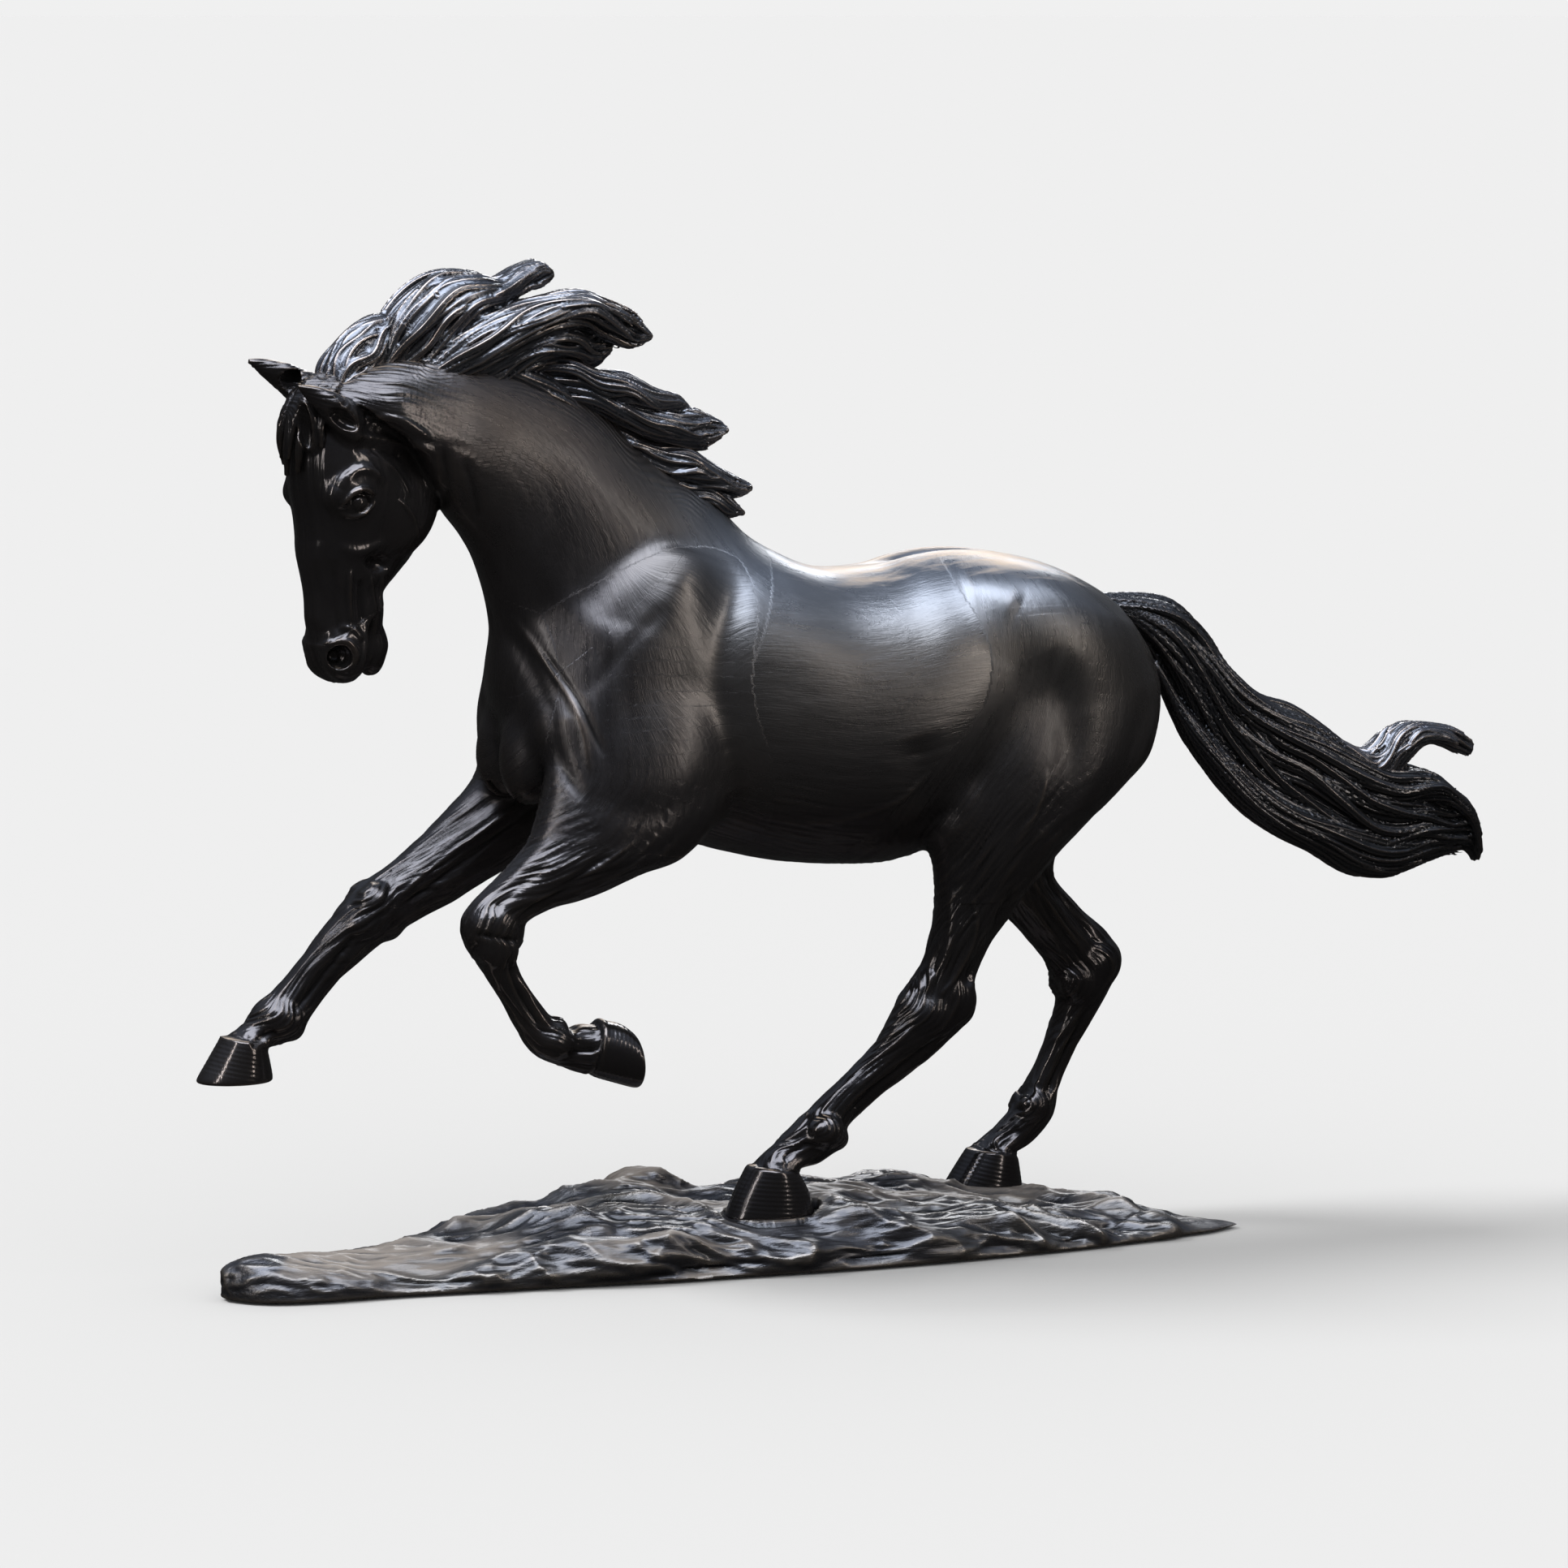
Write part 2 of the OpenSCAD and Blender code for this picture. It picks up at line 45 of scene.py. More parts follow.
# Each row of a form holds: front x, front z, back x, back z, middle y, half width, widest place.
body = {
    "barrel": [
        [-164, 258, -166, 228, 2, 22, 0.5], [-156, 284, -157, 210, 1, 34, 0.5],
        [-134, 300, -138, 198, 0, 42, 0.5], [-106, 309, -108, 186, 0, 47, 0.55],
        [-78, 312, -79, 178, 0, 51, 0.58], [-50, 303, -48, 170, 0, 55, 0.56],
        [-23, 294, -23, 167, 0, 57, 0.54], [2, 294, 2, 166, 0, 58, 0.54],
        [19, 298, 19, 169, 0, 57, 0.52], [36, 300, 36, 176, 0, 55, 0.5],
        [55, 299, 52, 185, 0, 52, 0.48], [75, 295, 70, 192, 0, 50, 0.46],
        [94, 288, 90, 198, 0, 47, 0.46], [113, 277, 109, 204, 0, 41, 0.46],
        [128, 260, 123, 212, 0, 30, 0.48], [136, 245, 133, 222, 0, 18, 0.5]],
    "neck": [
        [-36, 292, -128, 204, 0, 34, 0.5], [-54, 306, -152, 220, 0, 37, 0.52],
        [-72, 325, -168, 244, 0, 34, 0.55], [-98, 343, -170, 271, -2, 28, 0.58],
        [-127, 366, -177, 296, -5, 23, 0.6], [-156, 380, -185, 310, -9, 20, 0.6],
        [-187, 387, -194, 321, -13, 19, 0.6], [-216, 386, -203, 333, -16, 18, 0.58],
        [-234, 382, -209, 344, -18, 17, 0.56], [-247, 375, -214, 352, -18, 15, 0.55]]}
legs = {
    "left_foreleg_casting": {
        "y": -42, "away": (-0.2, -1), "cut": [-166, 189, -100, 178],
        "rows": [
            [-138, 272, -96, 264, -24, 16, 0.5], [-154, 244, -84, 228, -31, 19, 0.5],
            [-160, 214, -80, 200, -37, 19, 0.5], [-168, 190, -100, 179, -41, 17, 0.5],
            [-177, 179, -121, 172, -42, 15.5, 0.5], [-187, 170, -142, 164, -42, 13, 0.5],
            [-195, 163, -161, 160, -42, 11, 0.5], [-199, 156, -176, 152, -42, 10.5, 0.5],
            [-198, 147, -178, 144, -42, 10, 0.5], [-192, 137, -176, 134, -42, 8, 0.5],
            [-184, 126, -170, 125, -42, 6.6, 0.5], [-176, 112, -162, 115, -42, 7, 0.5],
            [-169, 100, -154, 108, -42, 8.6, 0.5], [-158, 94, -147, 110, -42, 7.2, 0.5],
            [-147, 90, -140, 109, -42, 8.5, 0.5], [-138, 91, -133, 107, -42, 8, 0.5]],
        "hoof": [
            [-143, 89, -140, 110.5, -42, 10.2, 0.5], [-141, 87.5, -138.5, 111.5, -42, 11.2, 0.5],
            [-132, 84.5, -130, 109.5, -42, 12.4, 0.5], [-123.5, 82, -125, 106, -42, 13.4, 0.5],
            [-122.4, 83.5, -124, 104.5, -42, 12.4, 0.5]],
        "low": (-208, -66, 76), "high": (-96, -20, 214)},
    "right_foreleg_casting": {
        "y": 32, "away": (-1, -1), "cut": [-164, 206, -118, 188],
        "rows": [
            [-142, 270, -98, 264, 24, 16, 0.5], [-158, 248, -90, 230, 28, 19, 0.5],
            [-162, 226, -92, 206, 31, 18, 0.5], [-163, 208, -117, 189, 33, 16, 0.5],
            [-178, 192, -139, 175, 32, 14, 0.5], [-197, 176, -169, 158, 32, 12, 0.5],
            [-211, 166, -188, 149, 32, 10.5, 0.5], [-223, 157, -204, 141, 32, 10.5, 0.5],
            [-232, 146, -216, 133, 32, 9, 0.5], [-243, 133, -229.5, 122, 32, 6.8, 0.5],
            [-253, 122, -239, 110, 32, 7.2, 0.5], [-263, 115, -245, 102, 32, 9, 0.5],
            [-268, 108, -255, 98, 32, 7.6, 0.5], [-275, 102, -262, 97, 32, 8.8, 0.5],
            [-278, 95, -262, 93, 32, 8, 0.5]],
        "hoof": [
            [-278.5, 102.5, -260.5, 99.5, 32, 10.2, 0.5], [-280, 100, -259.5, 97.5, 32, 11.2, 0.5],
            [-285, 92, -258, 91, 32, 12.4, 0.5], [-289.5, 84.5, -257, 84.5, 32, 13.4, 0.5],
            [-288, 83.4, -258.5, 83.4, 32, 12.4, 0.5]],
        "low": (-296, 12, 78), "high": (-112, 54, 226)},
    "left_hind_leg_casting": {
        "y": -35, "away": (0, -1), "cut": [20, 152, 58, 152],
        "rows": [
            [56, 282, 114, 262, -20, 24, 0.5], [42, 252, 126, 238, -26, 26, 0.5],
            [30, 220, 122, 213, -29, 26, 0.5], [22, 194, 108, 199, -32, 24, 0.5],
            [18, 178, 90, 184, -35, 20, 0.5], [19, 166, 73, 169, -36, 17, 0.5],
            [20, 152, 57, 152, -36, 14, 0.5], [17, 136, 43, 134, -36, 11.5, 0.5],
            [13, 124, 36, 119, -35, 10.5, 0.5], [3, 112, 34, 102, -35, 10.5, 0.5],
            [-3, 101, 24, 92, -35, 10, 0.5], [-10, 90, 8, 81, -34, 7.8, 0.5],
            [-23, 78, -9, 69.5, -33, 6.8, 0.5], [-36, 67, -21, 58.5, -32, 7.4, 0.5],
            [-46, 59, -24, 50, -32, 8.8, 0.5], [-54, 52, -34, 43, -32, 7.6, 0.5],
            [-61, 46, -44, 41, -32, 8.8, 0.5], [-66, 39, -47, 35, -32, 8, 0.5]],
        "hoof": [
            [-65.5, 43.5, -45, 39.5, -32, 10.2, 0.5], [-68, 41, -43, 37.5, -32, 11.2, 0.5],
            [-73, 32, -39, 30, -32, 12.4, 0.5], [-77, 22.6, -37, 22.6, -32, 13.4, 0.5],
            [-77, 22, -37, 22, -32, 13.4, 0.5]],
        "low": (-84, -58, 18), "high": (70, -14, 176)},
    "right_hind_leg_casting": {
        "y": 28, "away": (0.3, -1), "cut": [77, 140, 107, 154],
        "rows": [
            [58, 282, 114, 262, 20, 24, 0.5], [46, 252, 132, 238, 26, 25, 0.5],
            [36, 222, 127, 213, 28, 25, 0.5], [34, 196, 118, 197, 29, 22, 0.5],
            [40, 174, 112, 180, 30, 18, 0.5], [58, 155, 107, 166, 29, 15, 0.5],
            [77, 140, 104, 153, 28, 13, 0.5], [92, 126, 117, 137, 28, 11, 0.5],
            [102, 114, 131, 125, 28, 10.5, 0.5], [108, 101, 137, 112, 28, 10.5, 0.5],
            [107, 89, 127, 92, 28, 9, 0.5], [101, 73, 116, 77, 28, 7.2, 0.5],
            [93, 58, 108, 61, 28, 7.2, 0.5], [85, 47, 105, 46, 28, 8.4, 0.5],
            [77, 40, 96, 35, 28, 8.2, 0.5], [69, 34, 86, 30, 28, 8.8, 0.5],
            [63, 27, 84, 25, 28, 8, 0.5]],
        "hoof": [
            [65, 32.5, 86, 29.5, 28, 10.2, 0.5], [63, 30, 88, 27, 28, 11.2, 0.5],
            [58, 23, 89, 22, 28, 12.4, 0.5], [53, 15.6, 90, 15.6, 28, 13.4, 0.5],
            [53, 15, 90, 15, 28, 13.4, 0.5]],
        "low": (46, 8, 11), "high": (142, 50, 172)}}
head = {
    "place": (-249, -15), "turn": 15,
    "face": [
        [-2, 378, 24, 367, 0, 12, 0.5], [-9, 366, 39, 352, 0, 17, 0.42],
        [-13, 351, 47, 335, 0, 20, 0.36], [-13, 337, 47, 321, 0, 20.5, 0.32],
        [-11, 323, 43, 307, 0, 17.5, 0.32], [-10, 309, 35, 298, 0, 15, 0.34],
        [-8, 295, 27, 290, 0, 13, 0.4], [-7, 281, 22, 280, 0, 12, 0.46],
        [-5, 269, 18, 270, 0, 12.5, 0.48], [-1, 260, 16, 262, 0, 11, 0.5],
        [4, 254, 13, 256, 0, 6, 0.5]],
    "chin": [
        [12, 285, 25, 286, 0, 6, 0.5], [12, 277, 27, 278, 0, 8, 0.5],
        [14, 267, 30, 268, 0, 8, 0.5], [14, 260, 25, 260, 0, 6, 0.5]],
    "leftEar": [
        [7, 368, 8, 353, -13, 5, 0.5], [0, 372, 3, 352, -15.5, 6.4, 0.5],
        [-7, 375, -4, 357, -16, 5.8, 0.5], [-14, 377, -12, 366, -14.5, 3.6, 0.5],
        [-21, 378, -20.5, 376, -12, 0.9, 0.5]],
    "rightEar": [
        [6, 380, 8, 362, 11, 6, 0.5], [-2, 383, 0, 365, 13, 7, 0.5],
        [-10, 386, -8, 372, 15.5, 6, 0.5], [-17, 387, -16, 379, 18, 3.4, 0.5],
        [-23, 387, -22.5, 385, 20, 0.9, 0.5]]}


def smoothRows(rows, steps):
    rows = np.array(rows, float)
    last = len(rows) - 1
    out = []
    for i in range(last):
        a, b, c, d = rows[max(i - 1, 0)], rows[i], rows[i + 1], rows[min(i + 2, last)]
        for k in range(steps):
            t = k / steps
            out.append(0.5 * (2 * b + (c - a) * t + (2 * a - 5 * b + 4 * c - d) * t * t
                              + (3 * b - a - 3 * c + d) * t ** 3))
    out.append(rows[last])
    return np.array(out)


def gridFaces(count, around):
    i, k = np.meshgrid(np.arange(count - 1), np.arange(around), indexing="ij")
    i, k = i.ravel() * around, k.ravel()
    n = (k + 1) % around
    return np.stack([i + k, i + n, i + around + n, i + around + k], 1)


def capRings(rings):  # closes rings of points into one skin: points, quads, triangles
    count, around = rings.shape[:2]
    points = np.vstack([rings.reshape(-1, 3), rings[0].mean(0), rings[-1].mean(0)])
    k = np.arange(around)
    n = (k + 1) % around
    a, b = count * around, (count - 1) * around
    ends = np.vstack([np.stack([n, k, k * 0 + a], 1), np.stack([b + k, b + n, k * 0 + a + 1], 1)])
    return points, gridFaces(count, around), ends


def loft(rows, around=36, steps=6, fullness=0.9):
    s = smoothRows(rows, steps)
    a = np.linspace(0, 2 * math.pi, around, endpoint=False)
    c, sn = np.cos(a), np.sin(a)
    wide = np.sign(sn) * np.abs(sn) ** fullness
    rings = np.zeros((len(s), around, 3))
    for axis, (f, b) in {0: (0, 2), 2: (1, 3)}.items():
        mid = s[:, f] + (s[:, b] - s[:, f]) * s[:, 6]
        reach = np.where(c > 0, (s[:, f] - mid)[:, None], (mid - s[:, b])[:, None])
        rings[:, :, axis] = mid[:, None] + reach * c
    rings[:, :, 1] = s[:, 4:5] + s[:, 5:6] * wide
    return capRings(rings)


def headToWorld(points):
    points = np.atleast_2d(np.array(points, float))
    t = math.radians(head["turn"])
    x = head["place"][0] + points[:, 0] * math.cos(t) - points[:, 1] * math.sin(t)
    y = head["place"][1] + points[:, 0] * math.sin(t) + points[:, 1] * math.cos(t)
    return np.stack([x, y, points[:, 2]], 1)


def worldToHead(points):
    t = math.radians(head["turn"])
    x, y = points[:, 0] - head["place"][0], points[:, 1] - head["place"][1]
    return np.stack([x * math.cos(t) + y * math.sin(t), -x * math.sin(t) + y * math.cos(t), points[:, 2]], 1)


def headLoft(rows, **more):
    points, quads, tris = loft(rows, **more)
    return headToWorld(points), quads, tris


def newField(low, high, voxel, reach):
    first = np.floor(np.array(low) / voxel).astype(int)
    size = np.ceil((np.array(high) - np.array(low)) / voxel).astype(int) + 1
    return {"first": first, "size": size, "voxel": voxel, "reach": reach,
            "d": np.full(size, reach, np.float32)}


def meshDistance(field, skin):
    points, quads, tris = skin
    v = field["voxel"]
    grid = vdb.FloatGrid.createLevelSetFromPolygons(
        points.astype(np.float32), triangles=tris.astype(np.uint32), quads=quads.astype(np.uint32),
        transform=vdb.createLinearTransform(voxelSize=v), halfWidth=field["reach"] / v)
    out = np.empty(field["size"], np.float32)
    grid.copyToArray(out, ijk=tuple(int(i) for i in field["first"]))
    return out


def softMin(a, b, k):
    if k <= 0:
        return np.minimum(a, b)
    h = np.clip(0.5 + 0.5 * (b - a) / k, 0, 1)
    return b * (1 - h) + a * h - k * h * (1 - h)


def softMax(a, b, k):
    return -softMin(-a, -b, k)


def isNear(field, points):
    low = field["first"] * field["voxel"]
    high = low + field["size"] * field["voxel"]
    return (points.max(0) > low - 9).all() and (points.min(0) < high + 9).all()


def addSkin(field, skin, k):
    if not isNear(field, skin[0]):
        return
    field["d"] = softMin(field["d"], meshDistance(field, skin), k)


# adds or cuts an egg shape
def blob(field, centre, radii, turn=(0, 0, 0), k=6, cut=False):
    v = field["voxel"]
    pad = max(radii) + k + 2
    low = np.maximum(np.floor((np.array(centre) - pad) / v).astype(int) - field["first"], 0)
    high = np.minimum(np.ceil((np.array(centre) + pad) / v).astype(int) - field["first"], field["size"])
    if (high <= low).any():
        return
    axes = [(np.arange(low[i], high[i]) + field["first"][i]) * v - centre[i] for i in range(3)]
    x, y, z = np.meshgrid(*[a.astype(np.float32) for a in axes], indexing="ij", sparse=True)
    m = np.array(Euler([math.radians(a) for a in turn]).to_matrix(), np.float32)
    px = m[0, 0] * x + m[1, 0] * y + m[2, 0] * z
    py = m[0, 1] * x + m[1, 1] * y + m[2, 1] * z
    pz = m[0, 2] * x + m[1, 2] * y + m[2, 2] * z
    k0 = np.sqrt((px / radii[0]) ** 2 + (py / radii[1]) ** 2 + (pz / radii[2]) ** 2)
    k1 = np.sqrt((px / radii[0] ** 2) ** 2 + (py / radii[1] ** 2) ** 2 + (pz / radii[2] ** 2) ** 2)
    d = k0 * (k0 - 1) / np.maximum(k1, 1e-6)
    part = tuple(slice(low[i], high[i]) for i in range(3))
    field["d"][part] = softMax(field["d"][part], -d, k) if cut else softMin(field["d"][part], d, k)


def headBlob(field, centre, radii, turn=(0, 0, 0), k=3, cut=False):
    blob(field, headToWorld(centre)[0], radii, (turn[0], turn[1], turn[2] + head["turn"]), k, cut)


# a tapered strand along a path, with the frame that its ridges follow
def tube(path, radii, around=8):
    path = np.array(path, float)
    way = np.gradient(path, axis=0)
    way /= np.linalg.norm(way, axis=1)[:, None] + 1e-9
    side = np.cross(way, [0, 1, 0.02])
    side /= np.linalg.norm(side, axis=1)[:, None] + 1e-9
    other = np.cross(way, side)
    a = np.linspace(0, 2 * math.pi, around, endpoint=False)
    r = np.array(radii)[:, None, None]
    c, s = np.cos(a)[None, :, None], np.sin(a)[None, :, None]
    rings = path[:, None] + r * (c * side[:, None] + s * other[:, None])
    return capRings(rings), side, other


def joinSkins(skins):
    points, quads, tris = [], [], []
    n = 0
    for p, q, t in skins:
        points.append(p)
        quads.append(q + n)
        tris.append(t + n)
        n += len(p)
    return np.vstack(points), np.vstack(quads), np.vstack(tris)


def skinOf(field, rounds=2):
    grid = vdb.FloatGrid(field["reach"])
    grid.copyFromArray(np.ascontiguousarray(field["d"]), ijk=tuple(int(i) for i in field["first"]))
    grid.transform = vdb.createLinearTransform(voxelSize=field["voxel"])
    points, quads = grid.convertToQuads(isovalue=0)
    points, quads = points.astype(float), quads.astype(np.int64)
    if volumeOf(points, quads) < 0:
        quads = quads[:, ::-1]
    return relaxed(points, quads, rounds), quads


def volumeOf(points, quads):
    q = points[quads]
    n = np.cross(q[:, 2] - q[:, 0], q[:, 3] - q[:, 1])
    return (q.mean(1) * n).sum() / 6


def relaxed(points, quads, rounds, amount=0.5):
    a, b = quads.ravel(), np.roll(quads, -1, axis=1).ravel()
    here, there = np.concatenate([a, b]), np.concatenate([b, a])
    count = np.maximum(np.bincount(here, minlength=len(points)), 1)[:, None]
    for _ in range(rounds):
        near = np.stack([np.bincount(here, points[there, i], len(points)) for i in range(3)], 1) / count
        points = points + amount * (near - points)
    return points


def normalsOf(points, quads):
    q = points[quads]
    n = np.cross(q[:, 2] - q[:, 0], q[:, 3] - q[:, 1])
    out = np.zeros_like(points)
    for k in range(4):
        for i in range(3):
            out[:, i] += np.bincount(quads[:, k], n[:, i], len(points))
    return out / (np.linalg.norm(out, axis=1)[:, None] + 1e-9)


# 1 on the line, fading away from it and towards its ends
def lineWeight(flat, line, radius):
    line = smoothRows(line, 4)
    out = np.zeros(len(flat))
    low, high = line.min(0) - 3 * radius, line.max(0) + 3 * radius
    near = np.where(((flat > low) & (flat < high)).all(1))[0]
    if not len(near):
        return out
    p = flat[near]
    best, along = np.full(len(near), 1e9), np.zeros(len(near))
    for i in range(len(line) - 1):
        a, d = line[i], line[i + 1] - line[i]
        t = np.clip(((p - a) @ d) / max(d @ d, 1e-9), 0, 1)
        gap = ((p - a - t[:, None] * d) ** 2).sum(1)
        closer = gap < best
        best[closer] = gap[closer]
        along[closer] = (i + t[closer]) / (len(line) - 1)
    out[near] = np.exp(-best / radius ** 2) * np.clip(5 * along, 0, 1) * np.clip(5 * (1 - along), 0, 1)
    return out


# raises or sinks the skin along lines drawn on its side; side is -1 near, 1 far, 0 both
def drawStrokes(points, quads, flat, across, strokes):
    normals = normalsOf(points, quads)
    lift = np.zeros(len(points))
    for line, radius, height, side in strokes:
        face = 1 if side == 0 else np.clip(across * side / 4 + 0.5, 0, 1)
        lift += height * lineWeight(flat, line, radius) * face
    return points + normals * lift[:, None]


# 0 in the grooves, 1 on the ridges
def ridgeOf(points, quads, rounds, depth):
    sunk = ((relaxed(points, quads, rounds, 0.6) - points) * normalsOf(points, quads)).sum(1)
    return np.clip(0.5 - sunk / depth, 0, 1)


def castMesh(name, points, quads, material, cuts=(), painted=None):
    mesh = bpy.data.meshes.new(name)
    mesh.from_pydata((points * mm).tolist(), [], quads.tolist())
    for key, values in (painted or {}).items():
        flat = values.ndim == 1
        attribute = mesh.attributes.new(key, "FLOAT" if flat else "FLOAT_VECTOR", "POINT")
        attribute.data.foreach_set("value" if flat else "vector", values.astype(np.float32).ravel())
    if cuts:
        bm = bmesh.new()
        bm.from_mesh(mesh)
        for front, back, away, region in cuts:
            partAt(bm, front, back, away, region)
        bm.to_mesh(mesh)
        bm.free()
    mesh.validate()
    mesh.shade_smooth()
    sharpen(mesh)
    ob = bpy.data.objects.new(name, mesh)
    bpy.context.scene.collection.objects.link(ob)
    mesh.materials.append(material)
    return ob


# cuts the skin where two castings meet, and closes it
def partAt(bm, front, back, away, region):
    a, b = Vector((front[0], 0, front[1])) * mm, Vector((back[0], 0, back[1])) * mm
    normal = (b - a).cross(Vector((0, 1, 0))).normalized()
    if normal.x * away[0] + normal.z * away[1] < 0:
        normal.negate()
    if region:
        low, high = Vector(region[0]) * mm, Vector(region[1]) * mm
        verts = {v for v in bm.verts if all(low[i] < v.co[i] < high[i] for i in range(3))}
        faces = [f for f in bm.faces if all(v in verts for v in f.verts)]
        geom = list({v for f in faces for v in f.verts}) + list({e for f in faces for e in f.edges}) + faces
    else:
        geom = bm.verts[:] + bm.edges[:] + bm.faces[:]
    cut = bmesh.ops.bisect_plane(bm, geom=geom, plane_co=(a + b) / 2, plane_no=normal,
                                 clear_outer=True, dist=1e-7)
    edges = [e for e in cut["geom_cut"] if isinstance(e, bmesh.types.BMEdge) and e.is_boundary]
    made = bmesh.ops.triangle_fill(bm, edges=edges, use_beauty=False, normal=normal)
    for f in made["geom"]:
        if isinstance(f, bmesh.types.BMFace) and f.normal.dot(normal) < 0:
            f.normal_flip()


def sharpen(mesh, degrees=60):
    bm = bmesh.new()
    bm.from_mesh(mesh)
    for e in bm.edges:
        e.smooth = not (len(e.link_faces) == 2 and e.calc_face_angle(0) > math.radians(degrees))
    bm.to_mesh(mesh)
    bm.free()


def place(ob, node):
    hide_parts(node)
    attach(ob, "root")
    print("made", ob.name, len(ob.data.polygons), "faces")


def nodesOf(name):
    material = bpy.data.materials.new(name)
    material.use_nodes = True
    return material, material.node_tree.nodes, material.node_tree.links


def addNode(nodes, kind, values=None, **settings):
    node = nodes.new(kind)
    for key, value in settings.items():
        setattr(node, key, value)
    for key, value in (values or {}).items():
        node.inputs[key].default_value = value
    return node


def rampNode(nodes, stops):
    ramp = nodes.new("ShaderNodeValToRGB")
    while len(ramp.color_ramp.elements) < len(stops):
        ramp.color_ramp.elements.new(0.5)
    for element, (position, colour) in zip(ramp.color_ramp.elements, stops):
        element.position = position
        element.color = (*colour, 1)
    return ramp


def rangeNode(nodes, links, value, values):
    node = addNode(nodes, "ShaderNodeMapRange", values)
    links.new(value, node.inputs["Value"])
    return node.outputs["Result"]


def mathNode(nodes, links, operation, a, b):
    node = addNode(nodes, "ShaderNodeMath", operation=operation)
    links.new(a, node.inputs[0])
    links.new(b, node.inputs[1])
    return node.outputs[0]


def noiseNode(nodes, links, vector, scale, detail, roughness):
    node = addNode(nodes, "ShaderNodeTexNoise", {"Scale": scale, "Detail": detail, "Roughness": roughness})
    links.new(vector, node.inputs["Vector"])
    return node.outputs["Fac"]


def mappedNode(nodes, links, vector, values):
    node = addNode(nodes, "ShaderNodeMapping", values)
    links.new(vector, node.inputs["Vector"])
    return node.outputs["Vector"]


wax = {  # what all the patinas share; the ranges are in metres or in parts of one
    "cloud": (5.0, 0.6), "dust": (6.0, 0.65), "gloss": (6.0, 0.7), "brush": (3.0, 0.55), "pits": (3.0, 0.6),
    "dustAmount": 0.55, "grooves": {"From Min": 0.5, "From Max": 0.12, "To Max": 0.85},
    "ridges": {"From Min": 0.55, "From Max": 0.95}, "glossFrom": {"From Min": 0.3, "From Max": 0.7},
    "lowLimbs": {"From Min": 0.215, "From Max": 0.165}, "foreEnd": {"From Min": -0.185, "From Max": -0.225},
    "tanRoughness": 0.6, "tanMetal": 0.25, "flowScale": (0.11, 0.022, 1), "roughScale": 3,
    "pitDepth": 0.0006, "brushDepth": 0.0004}


